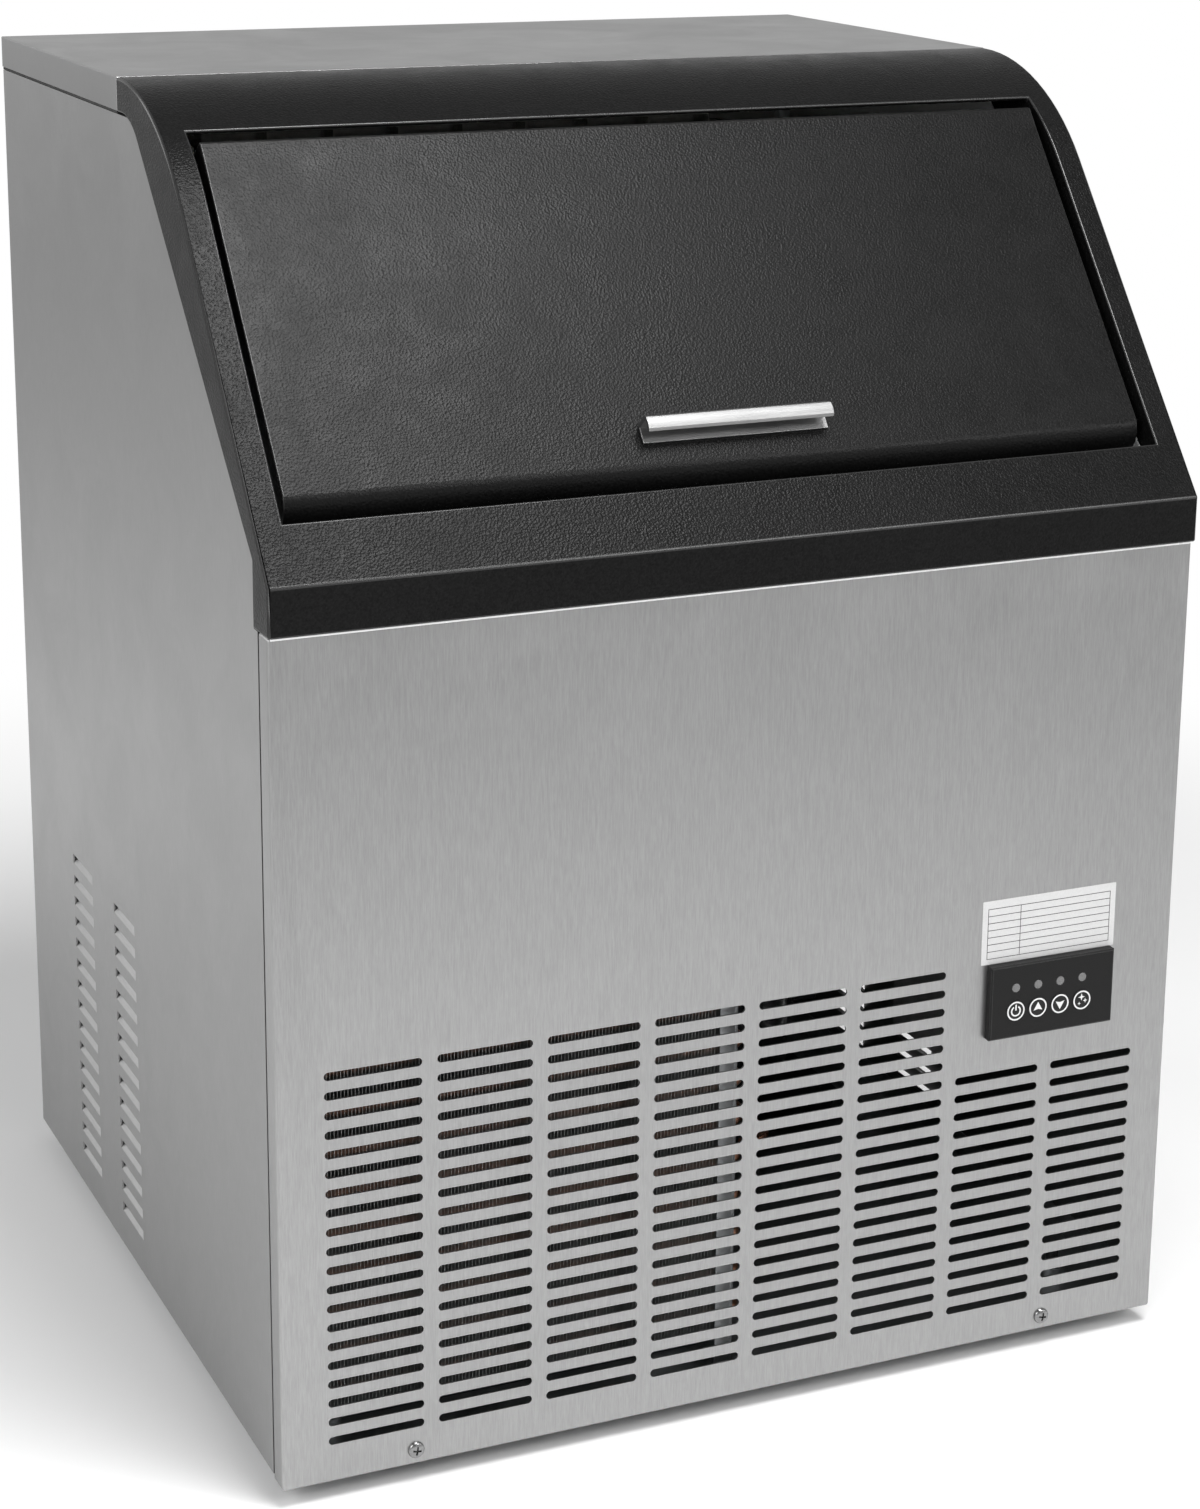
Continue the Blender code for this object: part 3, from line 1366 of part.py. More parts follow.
def make_bin():
    gap = FIT_GAP
    front = FLANGE_FOOT_Y + gap
    outline = [(front, LINER_FLOOR), (LINER_BACK, LINER_FLOOR), (LINER_BACK, LINER_TOP)]
    outline += flange_edge(gap, LINER_TOP)
    liner = solid("bin_liner", lambda bm: prism(bm, "x", outline, -LINER_HALF, LINER_HALF))
    cut(
        liner,
        lambda bm: block(
            bm,
            (-LINER_INNER, LINER_INNER),
            (front + LINER_WALL, LINER_BACK - LINER_WALL),
            (LINER_FLOOR + LINER_WALL, COVER_TOP),
        ),
    )

    def collars(bm):
        for hand in (-1, 1):
            near = hand * (LINER_INNER + LINER_HALF) / 2
            centre = (PIVOT_Y, PIVOT_Z)
            cylinder(bm, "x", centre, LINER_COLLAR_RADIUS, near, hand * LINER_COLLAR_OUTER)

    def bores(bm):
        radius = PIVOT_RADIUS + gap
        reach = LINER_COLLAR_OUTER + LINER_WALL
        for hand in (-1, 1):
            near = hand * (LINER_INNER - LINER_WALL)
            cylinder(bm, "x", (PIVOT_Y, PIVOT_Z), radius, near, hand * reach)
        low = LINER_FLOOR - LINER_WALL
        high = LINER_FLOOR + LINER_WALL * 2
        for k in range(STRAINER_HOLES):
            turn = math.tau * k / STRAINER_HOLES
            place = (
                DRAIN_X + STRAINER_RING * math.cos(turn),
                DRAIN_Y + STRAINER_RING * math.sin(turn),
            )
            cylinder(bm, "z", place, STRAINER_HOLE_RADIUS, low, high, STRAINER_HOLE_STEPS)
        cylinder(bm, "z", (SUCTION_X, SUCTION_Y), SUCTION_RADIUS + gap, low, high)

    join(liner, collars)
    cut(liner, bores)
    shape = [(FOAM_FRONT, FOAM_BOTTOM), (FOAM_BACK, FOAM_BOTTOM), (FOAM_BACK, FOAM_TOP)]
    shape += flange_edge(gap, FOAM_TOP)
    shape += [(FLANGE_FOOT_Y + gap, FOAM_SHOULDER), (FOAM_FRONT, FOAM_SHOULDER)]
    foam = solid("bin_insulation", lambda bm: prism(bm, "x", shape, -FOAM_HALF, FOAM_HALF))
    cut(
        foam,
        lambda bm: block(
            bm,
            (-LINER_HALF - gap, LINER_HALF + gap),
            (FLANGE_FOOT_Y, LINER_BACK + gap),
            (LINER_FLOOR - gap, COVER_TOP),
        ),
    )

    def foam_holes(bm):
        radius = LINER_COLLAR_RADIUS + gap
        reach = LINER_COLLAR_OUTER + gap
        for hand in (-1, 1):
            cylinder(bm, "x", (PIVOT_Y, PIVOT_Z), radius, hand * LINER_INNER, hand * reach)
        low = FOAM_BOTTOM - DECK_FLANGE
        cylinder(bm, "z", (DRAIN_X, DRAIN_Y), FOAM_DRAIN_RADIUS, low, LINER_FLOOR)
        cylinder(bm, "z", (SUCTION_X, SUCTION_Y), SUCTION_RADIUS + gap, low, LINER_FLOOR)

    cut(foam, foam_holes)
    top = DECK_BOTTOM + SHEET
    deck = solid(
        "bin_deck",
        lambda bm: block(
            bm,
            (-INNER_HALF, INNER_HALF),
            (FOAM_FRONT, FOAM_BACK),
            (top - DECK_FLANGE, top),
        ),
    )
    cut(
        deck,
        lambda bm: block(
            bm,
            (SHEET - INNER_HALF, INNER_HALF - SHEET),
            (0, CABINET_DEPTH),
            (top - DECK_FLANGE * 2, DECK_BOTTOM),
        ),
    )

    def deck_holes(bm):
        low = DECK_BOTTOM - DECK_FLANGE
        cylinder(bm, "z", (DRAIN_X, DRAIN_Y), DRAIN_RADIUS + gap, low, FOAM_BOTTOM)
        cylinder(bm, "z", (SUCTION_X, SUCTION_Y), SUCTION_RADIUS + gap, low, FOAM_BOTTOM)

    cut(deck, deck_holes)
    path = [
        (DRAIN_X, DRAIN_Y, LINER_FLOOR - gap),
        (DRAIN_X, DRAIN_Y, DRAIN_LOW),
        (DRAIN_X, SPIGOT_START - gap, DRAIN_LOW),
    ]
    solid("drain_hose", lambda bm: tube(bm, path, DRAIN_RADIUS, DRAIN_BEND))
    rim = INSIDE_BACK - SPIGOT_FLANGE
    tip = CABINET_DEPTH + REAR_REACH
    profile = [
        (0, SPIGOT_START),
        (SPIGOT_RADIUS, SPIGOT_START),
        (SPIGOT_RADIUS, rim),
        (SPIGOT_FLANGE_RADIUS, rim),
        (SPIGOT_FLANGE_RADIUS, INSIDE_BACK),
        (SPIGOT_RADIUS, INSIDE_BACK),
        (SPIGOT_RADIUS, tip),
        (SPIGOT_RADIUS - LINER_WALL, tip),
        (SPIGOT_RADIUS - LINER_WALL, BACK_FACE),
        (0, BACK_FACE),
    ]
    centre = (DRAIN_X, DRAIN_LOW)
    solid("drain_spigot", lambda bm: turned(bm, "y", centre, profile, ROUND_STEPS))


# Ice making


def make_evaporator():
    bm = bmesh.new()
    bmesh.ops.create_grid(bm, x_segments=CELL_COLUMNS, y_segments=CELL_ROWS, size=1)
    tall = (PLATE_TOP - PLATE_BOTTOM) / 2
    stretch = Matrix.Diagonal((PLATE_HALF, tall, 1, 1))
    upright = Matrix.Rotation(math.pi / 2, 4, "X")
    middle = Matrix.Translation((0, PLATE_FRONT, PLATE_BOTTOM + tall))
    bmesh.ops.transform(bm, matrix=middle @ upright @ stretch, verts=bm.verts)
    faces = list(bm.faces)
    rim = [e for e in bm.edges if e.is_boundary]
    sides = bmesh.ops.extrude_edge_only(bm, edges=rim)["geom"]
    moved = [v for v in sides if isinstance(v, bmesh.types.BMVert)]
    bmesh.ops.translate(bm, verts=moved, vec=(0, PLATE_BACK - PLATE_FRONT, 0))
    bmesh.ops.contextual_create(bm, geom=[e for e in bm.edges if e.is_boundary])
    bmesh.ops.inset_individual(bm, faces=faces, thickness=CELL_WALL, depth=0)
    bmesh.ops.inset_individual(bm, faces=faces, thickness=CELL_DRAFT, depth=-CELL_DEPTH)
    plate = part("evaporator", bm)
    tail = LINER_BACK - LINER_WALL - FIT_GAP

    def posts(bm):
        near = PLATE_BACK - CELL_WALL
        for x in (-POST_X, POST_X):
            for z in (PLATE_BOTTOM + POST_INSET_Z, PLATE_TOP - POST_INSET_Z):
                cylinder(bm, "y", (x, z), POST_RADIUS, near, tail, COARSE_STEPS)

    def lugs(bm):
        back = PLATE_BACK - CELL_WALL / 2
        for hand in (-1, 1):
            block(
                bm,
                (hand * LUG_INNER, hand * LUG_OUTER),
                (LUG_FRONT, back),
                (LUG_BOTTOM, LUG_TOP),
            )

    def bridges(bm):
        back = PLATE_BACK - CELL_WALL / 2
        front = back - CELL_WALL
        for hand in (-1, 1):
            near = hand * (PLATE_HALF - LUG_OVERLAP)
            far = hand * (LUG_INNER + LUG_OUTER) / 2
            block(bm, (near, far), (front, back - CELL_WALL / 4), (LUG_BOTTOM, LUG_TOP))

    def bores(bm):
        radius = CURTAIN_PIN_RADIUS + FIT_GAP
        for hand in (-1, 1):
            near = hand * (LUG_INNER - SHEET)
            far = hand * (LUG_OUTER + SHEET)
            cylinder(bm, "x", (CURTAIN_Y, CURTAIN_Z), radius, near, far, COARSE_STEPS)

    join(plate, posts)
    join(plate, lugs)
    join(plate, bridges)
    cut(plate, bores)
    depth = PLATE_BACK + FIT_GAP + COIL_RADIUS
    path = []
    for k in range(COIL_PASSES):
        level = COIL_LOW + k * COIL_PITCH
        ends = (COIL_HALF, -COIL_HALF) if k % 2 else (-COIL_HALF, COIL_HALF)
        path += [(x, depth, level) for x in ends]
    path[0] = (SUCTION_X + SUCTION_RADIUS + FIT_GAP, depth, COIL_LOW)
    solid("evaporator_coil", lambda bm: tube(bm, path, COIL_RADIUS, COIL_BEND))


def make_water_system():
    level = PLATE_TOP + FIT_GAP + TUBE_RADIUS
    solid(
        "water_distributor",
        lambda bm: cylinder(
            bm, "x", (TUBE_Y, level), TUBE_RADIUS, -TUBE_HALF, TUBE_HALF, COARSE_STEPS
        ),
    )
    back = LINER_BACK - LINER_WALL - FIT_GAP
    trough = solid(
        "water_trough",
        lambda bm: block(
            bm,
            (TROUGH_LEFT, TROUGH_RIGHT),
            (TROUGH_FRONT, back),
            (TROUGH_BOTTOM, TROUGH_TOP),
        ),
    )
    floor = TROUGH_BOTTOM + TROUGH_WALL
    cut(
        trough,
        lambda bm: block(
            bm,
            (TROUGH_LEFT + TROUGH_WALL, TROUGH_RIGHT - TROUGH_WALL),
            (TROUGH_FRONT + TROUGH_WALL, back - TROUGH_WALL),
            (floor, TROUGH_TOP + floor),
        ),
    )
    join(
        trough,
        lambda bm: cylinder(
            bm,
            "z",
            (GUIDE_X, GUIDE_Y),
            GUIDE_RADIUS,
            floor - TROUGH_WALL / 2,
            GUIDE_TOP,
            COARSE_STEPS,
        ),
    )
    bore = GUIDE_RADIUS + FIT_GAP
    ring = [
        (bore, FLOAT_REST),
        (FLOAT_RADIUS, FLOAT_REST),
        (FLOAT_RADIUS, FLOAT_REST + FLOAT_HEIGHT),
        (bore, FLOAT_REST + FLOAT_HEIGHT),
    ]
    solid(
        "float_ring",
        lambda bm: turned(bm, "z", (GUIDE_X, GUIDE_Y), ring, COARSE_STEPS, True),
        (GUIDE_X, GUIDE_Y, FLOAT_REST),
    )
    base = floor + FIT_GAP
    profile = [
        (0, base),
        (PUMP_BASE_RADIUS, base),
        (PUMP_BASE_RADIUS, PUMP_BASE_TOP),
        (PUMP_NECK_RADIUS, PUMP_BASE_TOP),
        (PUMP_NECK_RADIUS, PUMP_NECK_TOP),
        (PUMP_MOTOR_RADIUS, PUMP_NECK_TOP),
        (PUMP_MOTOR_RADIUS, PUMP_TOP - PUMP_EDGE),
        (PUMP_MOTOR_RADIUS - PUMP_EDGE, PUMP_TOP),
        (0, PUMP_TOP),
    ]
    pump = solid(
        "circulation_pump",
        lambda bm: turned(bm, "z", (PUMP_X, PUMP_Y), profile, ROUND_STEPS),
    )

    def outlet(bm):
        middle = (base + PUMP_BASE_TOP) / 2
        block(
            bm,
            (PUMP_X + PUMP_NECK_RADIUS, OUTLET_X + OUTLET_RADIUS / 2),
            (PUMP_Y - OUTLET_RADIUS, PUMP_Y + OUTLET_RADIUS),
            (middle - OUTLET_RADIUS, middle + OUTLET_RADIUS),
        )

    def riser(bm):
        middle = (base + PUMP_BASE_TOP) / 2
        cylinder(
            bm, "z", (OUTLET_X, PUMP_Y), OUTLET_RADIUS, middle, OUTLET_TOP, COARSE_STEPS
        )

    join(pump, outlet)
    join(pump, riser)
    path = [
        (OUTLET_X, PUMP_Y, OUTLET_TOP + FIT_GAP),
        (OUTLET_X, PUMP_Y, HOSE_TURN_Z),
        (OUTLET_X, TUBE_Y, level),
        (TUBE_HALF + FIT_GAP, TUBE_Y, level),
    ]
    solid("pump_hose", lambda bm: tube(bm, path, OUTLET_RADIUS, HOSE_BEND))
    make_curtain()
    make_inlet()


def make_curtain():
    half = CURTAIN_THICK / 2
    curtain = solid(
        "splash_curtain",
        lambda bm: block(
            bm,
            (-CURTAIN_HALF, CURTAIN_HALF),
            (CURTAIN_Y - half, CURTAIN_Y + half),
            (CURTAIN_BOTTOM, CURTAIN_TOP),
        ),
        (0, CURTAIN_Y, CURTAIN_Z),
    )

    def pins(bm):
        for hand in (-1, 1):
            near = hand * (CURTAIN_HALF - CURTAIN_PIN_RADIUS)
            centre = (CURTAIN_Y, CURTAIN_Z)
            far = hand * CURTAIN_PIN_END
            cylinder(bm, "x", centre, CURTAIN_PIN_RADIUS, near, far, COARSE_STEPS)

    join(curtain, pins)


def make_inlet():
    rim = INSIDE_BACK - SPIGOT_FLANGE
    tip = CABINET_DEPTH + REAR_REACH
    profile = [
        (0, VALVE_BODY_FRONT + VALVE_BODY_HALF),
        (NIPPLE_RADIUS, VALVE_BODY_FRONT + VALVE_BODY_HALF),
        (NIPPLE_RADIUS, tip),
        (NIPPLE_BORE, tip),
        (NIPPLE_BORE, tip - NIPPLE_BORE_DEPTH),
        (0, tip - NIPPLE_BORE_DEPTH),
    ]
    centre = (VALVE_X, VALVE_Z)
    valve = solid("water_inlet_valve", lambda bm: turned(bm, "y", centre, profile, ROUND_STEPS))
    half = VALVE_BODY_HALF
    join(
        valve,
        lambda bm: block(
            bm,
            (VALVE_X - half, VALVE_X + half),
            (VALVE_BODY_FRONT, VALVE_BODY_FRONT + half * 2),
            (VALVE_Z - half, VALVE_Z + half * 2),
        ),
    )
    ring = NIPPLE_RADIUS + SPIGOT_FLANGE
    join(valve, lambda bm: cylinder(bm, "y", centre, ring, rim, INSIDE_BACK))


# Cooling machinery


def make_compressor():
    top = COMPRESSOR_TOP
    shoulder = top - COMPRESSOR_DOME
    radius = COMPRESSOR_RADIUS
    centre = (COMPRESSOR_X, COMPRESSOR_Y)
    seam = COMPRESSOR_SEAM
    profile = [
        (0, COMPRESSOR_BOTTOM),
        (radius * COMPRESSOR_BASE_SHARE, COMPRESSOR_BOTTOM),
        (radius - seam, COMPRESSOR_BOTTOM + COMPRESSOR_DOME / 2),
        (radius - seam, COMPRESSOR_SEAM_Z - seam),
        (radius, COMPRESSOR_SEAM_Z - seam),
        (radius, COMPRESSOR_SEAM_Z + seam),
        (radius - seam, COMPRESSOR_SEAM_Z + seam),
        (radius - seam, shoulder),
    ]
    for k in range(1, BEND_STEPS):
        angle = math.pi / 2 * k / BEND_STEPS
        reach = (radius - seam) * math.cos(angle)
        profile.append((reach, shoulder + COMPRESSOR_DOME * math.sin(angle)))
    profile.append((0, top))
    shell = solid("compressor", lambda bm: turned(bm, "z", centre, profile, ROUND_STEPS))
    low = PLATE_FOOT_BOTTOM
    half_x = PLATE_FOOT_HALF_X
    half_y = PLATE_FOOT_HALF_Y

    def foot_plate(bm):
        block(
            bm,
            (COMPRESSOR_X - half_x, COMPRESSOR_X + half_x),
            (COMPRESSOR_Y - half_y, COMPRESSOR_Y + half_y),
            (low, low + PLATE_FOOT_THICK),
        )

    def terminals(bm):
        far = COMPRESSOR_X + radius + TERMINAL_REACH
        block(
            bm,
            (COMPRESSOR_X + radius / 2, far),
            (COMPRESSOR_Y - TERMINAL_HALF, COMPRESSOR_Y + TERMINAL_HALF),
            (TERMINAL_LOW, TERMINAL_HIGH),
        )

    def stubs(bm):
        left = COMPRESSOR_X - radius
        near = left + STUB_REACH
        far = left - STUB_REACH
        cylinder(bm, "x", (COMPRESSOR_Y, DISCHARGE_Z), STUB_RADIUS, near, far, COARSE_STEPS)
        place = (SUCTION_STUB_X, SUCTION_STUB_Y)
        cylinder(bm, "z", place, STUB_RADIUS, shoulder, top + STUB_REACH, COARSE_STEPS)

    join(shell, foot_plate)
    join(shell, terminals)
    join(shell, stubs)
    number = 0
    for side in (-1, 1):
        for end in (-1, 1):
            number += 1
            place = (
                COMPRESSOR_X + side * (half_x - GROMMET_INSET),
                COMPRESSOR_Y + end * (half_y - GROMMET_INSET),
            )
            high = low - FIT_GAP
            grip = [
                (0, PAN_SEAT),
                (GROMMET_RADIUS, PAN_SEAT),
                (GROMMET_RADIUS, PAN_SEAT + GROMMET_RIM),
                (GROMMET_WAIST, PAN_SEAT + GROMMET_RIM * 2),
                (GROMMET_RADIUS, high - GROMMET_RIM),
                (GROMMET_RADIUS, high),
                (0, high),
            ]
            solid(
                f"compressor_grommet_{number}",
                lambda bm: turned(bm, "z", place, grip, COARSE_STEPS),
            )


def make_condenser():
    plate = CONDENSER_PLATE
    left = CONDENSER_LEFT + plate
    right = CONDENSER_RIGHT - plate
    front = CONDENSER_FRONT + CONDENSER_PLATE_PROUD
    back = CONDENSER_BACK - CONDENSER_PLATE_PROUD
    pitch = (right - left) / FIN_COUNT
    shape = [(CONDENSER_LEFT, CONDENSER_FRONT), (left, CONDENSER_FRONT), (left, front)]
    for k in range(FIN_COUNT):
        start = left + k * pitch
        shape.append((start + pitch * (1 - FIN_GROOVE_SHARE), front))
        shape.append((start + pitch * (1 - FIN_GROOVE_SHARE / 2), front + FIN_GROOVE))
        if k < FIN_COUNT - 1:
            shape.append((start + pitch, front))
    shape += [(right, CONDENSER_FRONT), (CONDENSER_RIGHT, CONDENSER_FRONT)]
    shape += [(CONDENSER_RIGHT, CONDENSER_BACK), (right, CONDENSER_BACK), (right, back)]
    shape += [(left, back), (left, CONDENSER_BACK), (CONDENSER_LEFT, CONDENSER_BACK)]
    core = solid("condenser", lambda bm: prism(bm, "z", shape, PAN_SEAT, CONDENSER_TOP))
    cut(
        core,
        lambda bm: block(
            bm, (left, right), (0, CONDENSER_BACK * 2), (SIDE_BOTTOM, CONDENSER_LIFT)
        ),
    )


def make_fan():
    metal = SHROUD_METAL
    shroud = solid(
        "fan_shroud",
        lambda bm: block(
            bm,
            (CONDENSER_LEFT, CONDENSER_RIGHT),
            (SHROUD_FRONT, SHROUD_BACK),
            (PAN_SEAT, CONDENSER_TOP),
        ),
    )
    cut(
        shroud,
        lambda bm: block(
            bm,
            (CONDENSER_LEFT + metal, CONDENSER_RIGHT - metal),
            (CONDENSER_FRONT, SHROUD_BACK - metal),
            (PAN_SEAT + metal, CONDENSER_TOP - metal),
        ),
    )
    centre = (FAN_X, FAN_Z)
    cut(
        shroud,
        lambda bm: cylinder(
            bm,
            "y",
            centre,
            FAN_OPENING,
            SHROUD_BACK - metal * 2,
            SHROUD_BACK + metal,
            FINE_STEPS,
        ),
    )
    profile = [
        (0, FAN_HUB_FRONT),
        (FAN_HUB_RADIUS - MOTOR_EDGE, FAN_HUB_FRONT),
        (FAN_HUB_RADIUS, FAN_HUB_FRONT + MOTOR_EDGE),
        (FAN_HUB_RADIUS, FAN_HUB_BACK),
        (SHAFT_RADIUS + FIT_GAP, FAN_HUB_BACK),
        (SHAFT_RADIUS + FIT_GAP, SHAFT_END - FIT_GAP),
        (0, SHAFT_END - FIT_GAP),
    ]
    middle = (FAN_HUB_FRONT + FAN_HUB_BACK) / 2
    fan = solid(
        "fan_blades",
        lambda bm: turned(bm, "y", centre, profile, ROUND_STEPS),
        (FAN_X, middle, FAN_Z),
    )

    def blades(bm):
        for k in range(FAN_BLADES):
            near = FAN_HUB_RADIUS * FAN_ROOT_SHARE
            made = block(
                bm,
                (-FAN_CHORD / 2, FAN_CHORD / 2),
                (-FAN_METAL / 2, FAN_METAL / 2),
                (near, FAN_RADIUS),
            )
            root = [vert for vert in made if vert.co.z < (near + FAN_RADIUS) / 2]
            bmesh.ops.scale(bm, verts=root, vec=(near / FAN_CHORD, 1, 1))
            spin = Matrix.Rotation(math.tau * k / FAN_BLADES, 4, "Y")
            twist = Matrix.Rotation(FAN_PITCH, 4, "Z")
            move = Matrix.Translation((FAN_X, middle, FAN_Z))
            bmesh.ops.transform(bm, matrix=move @ spin @ twist, verts=made)

    join(fan, blades)
    body = [
        (0, SHAFT_END),
        (SHAFT_RADIUS, SHAFT_END),
        (SHAFT_RADIUS, MOTOR_NECK_FRONT),
        (MOTOR_NECK_RADIUS, MOTOR_NECK_FRONT),
        (MOTOR_NECK_RADIUS, MOTOR_FRONT),
        (MOTOR_RADIUS - MOTOR_EDGE, MOTOR_FRONT),
        (MOTOR_RADIUS, MOTOR_FRONT + MOTOR_EDGE),
        (MOTOR_RADIUS, MOTOR_BACK - MOTOR_EDGE),
        (MOTOR_RADIUS - MOTOR_EDGE, MOTOR_BACK),
        (0, MOTOR_BACK),
    ]
    solid("fan_motor", lambda bm: turned(bm, "y", centre, body, ROUND_STEPS))
    back = BRACKET_FRONT + BRACKET_METAL
    bracket = solid(
        "fan_bracket",
        lambda bm: block(
            bm,
            (FAN_X - BRACKET_HALF, FAN_X + BRACKET_HALF),
            (BRACKET_FRONT, back),
            (PAN_SEAT, FAN_Z + BRACKET_HEAD),
        ),
    )
    join(
        bracket,
        lambda bm: block(
            bm,
            (FAN_X - BRACKET_HALF, FAN_X + BRACKET_HALF),
            (back - BRACKET_METAL / 2, BRACKET_FOOT_BACK),
            (PAN_SEAT, PAN_SEAT + BRACKET_METAL),
        ),
    )
    radius = MOTOR_NECK_RADIUS + FIT_GAP
    near = BRACKET_FRONT - BRACKET_METAL
    far = back + BRACKET_METAL
    cut(bracket, lambda bm: cylinder(bm, "y", centre, radius, near, far))


def make_pipes():
    high = DRIER_TOP
    step = DRIER_SHOULDER
    profile = [
        (0, PAN_SEAT),
        (DRIER_NECK, PAN_SEAT),
        (DRIER_NECK, PAN_SEAT + step),
        (DRIER_RADIUS, PAN_SEAT + step * 2),
        (DRIER_RADIUS, high - step * 2),
        (DRIER_NECK, high - step),
        (DRIER_NECK, high),
        (0, high),
    ]
    place = (DRIER_X, DRIER_Y)
    solid("filter_drier", lambda bm: turned(bm, "z", place, profile, COARSE_STEPS))
    start = COMPRESSOR_X - COMPRESSOR_RADIUS - STUB_REACH - FIT_GAP
    line = (CONDENSER_FRONT + CONDENSER_BACK) / 2
    path = [
        (start, COMPRESSOR_Y, DISCHARGE_Z),
        (DISCHARGE_TURN_X, COMPRESSOR_Y, DISCHARGE_Z),
        (DISCHARGE_TURN_X, line, DISCHARGE_Z),
        (CONDENSER_RIGHT + FIT_GAP, line, DISCHARGE_Z),
    ]
    solid("discharge_pipe", lambda bm: tube(bm, path, PIPE_RADIUS, PIPE_BEND))
    depth = PLATE_BACK + FIT_GAP + COIL_RADIUS
    low = SUCTION_LOW + SUCTION_RADIUS
    run = [
        (SUCTION_STUB_X, SUCTION_STUB_Y, COMPRESSOR_TOP + STUB_REACH + FIT_GAP),
        (SUCTION_STUB_X, SUCTION_STUB_Y, low),
        (SUCTION_STUB_X, SUCTION_TURN_Y, low),
        (SUCTION_X, SUCTION_Y, low),
        (SUCTION_X, SUCTION_Y, COIL_LOW),
        (SUCTION_X, depth, COIL_LOW),
    ]
    solid("suction_pipe", lambda bm: tube(bm, run, SUCTION_RADIUS, SUCTION_BEND))
    nut = INSIDE_BACK - GLAND_NUT
    face = CABINET_DEPTH + FIT_GAP
    tip = face + GLAND_HEAD
    gland = [
        (0, nut),
        (GLAND_HEAD_RADIUS, nut),
        (GLAND_HEAD_RADIUS, INSIDE_BACK),
        (GLAND_RADIUS, INSIDE_BACK),
        (GLAND_RADIUS, face),
        (GLAND_HEAD_RADIUS, face),
        (GLAND_HEAD_RADIUS, face + GLAND_HEAD / 2),
        (GLAND_RADIUS, tip),
        (GLAND_BORE, tip),
        (GLAND_BORE, face),
        (0, face),
    ]
    place = (GLAND_X, GLAND_Z)
    solid("cord_gland", lambda bm: turned(bm, "y", place, gland, ROUND_STEPS))


def settle():
    front = -CONTROL_PROUD - BUTTON_PROUD
    back = CABINET_DEPTH + REAR_REACH
    shift = Vector((0, -(front + back) / 2, FOOT_PROJECTION))
    for made in list(PARTS.objects) + list(CUTTERS.objects):
        made.location += shift


make_base()
make_side("side_left", -1)
make_side("side_right", 1)
make_back()
make_cover()
make_front_panel()
make_fascia()
make_controls()
make_door()
make_bin()
make_evaporator()
make_water_system()
make_compressor()
make_condenser()
make_fan()
make_pipes()
settle()
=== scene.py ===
import json
import math

import bmesh
import bpy
from mathutils import Matrix, Vector

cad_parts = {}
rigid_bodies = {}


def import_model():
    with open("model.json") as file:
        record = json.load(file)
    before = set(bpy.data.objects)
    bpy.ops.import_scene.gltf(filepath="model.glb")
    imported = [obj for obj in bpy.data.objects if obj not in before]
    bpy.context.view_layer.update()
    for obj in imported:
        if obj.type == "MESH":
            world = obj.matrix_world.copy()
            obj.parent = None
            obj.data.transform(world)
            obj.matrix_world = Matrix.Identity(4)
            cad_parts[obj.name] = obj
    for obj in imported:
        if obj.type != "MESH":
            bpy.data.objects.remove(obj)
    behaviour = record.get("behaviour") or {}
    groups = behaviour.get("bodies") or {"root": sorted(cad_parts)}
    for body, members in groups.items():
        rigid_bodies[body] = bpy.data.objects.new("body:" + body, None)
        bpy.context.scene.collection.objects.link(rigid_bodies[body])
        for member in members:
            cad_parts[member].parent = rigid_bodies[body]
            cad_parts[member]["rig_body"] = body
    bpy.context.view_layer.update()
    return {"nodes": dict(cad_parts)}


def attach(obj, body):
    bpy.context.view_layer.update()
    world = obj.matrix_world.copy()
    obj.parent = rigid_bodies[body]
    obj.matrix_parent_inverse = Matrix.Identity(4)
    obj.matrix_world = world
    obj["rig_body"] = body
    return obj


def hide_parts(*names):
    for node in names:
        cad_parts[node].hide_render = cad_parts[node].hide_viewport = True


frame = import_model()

# Places are in metres from the front sheet's face and its bottom edge. TO_FRAME brings them into the
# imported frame, whose origin is on the floor under the middle of the footprint.
KEYS_Y = -0.0068
BACK_Y = 0.579
FOOT_HEIGHT = 0.012
MIDDLE_Y = (BACK_Y + KEYS_Y) / 2
TO_FRAME = Vector((0, -MIDDLE_Y, FOOT_HEIGHT))

HALF_WIDTH = 0.300
STEEL = 0.0012
PANEL_TOP = 0.5207
PANEL_RETURN = 0.0167


# Shader helpers


def new_group(name, inputs, outputs):
    tree = bpy.data.node_groups.new(name, "ShaderNodeTree")
    for socket, kind, value in inputs:
        made = tree.interface.new_socket(name=socket, in_out="INPUT", socket_type=kind)
        if value is not None:
            made.default_value = value
    for socket, kind in outputs:
        tree.interface.new_socket(name=socket, in_out="OUTPUT", socket_type=kind)
    return tree, tree.nodes.new("NodeGroupInput"), tree.nodes.new("NodeGroupOutput")


def node(tree, kind, settings=None, inputs=None):
    made = tree.nodes.new("ShaderNode" + kind)
    for key, value in (settings or {}).items():
        setattr(made, key, value)
    for key, value in (inputs or {}).items():
        made.inputs[key].default_value = value
    return made


def wire(tree, *pairs):
    for source, target in pairs:
        tree.links.new(source, target)


def ramp(tree, low, high, dark, bright):
    ends = {"From Min": low, "From Max": high, "To Min": dark, "To Max": bright}
    return node(tree, "MapRange", None, ends)


def calculate(tree, operation, second=None):
    return node(tree, "Math", {"operation": operation}, None if second is None else {1: second})


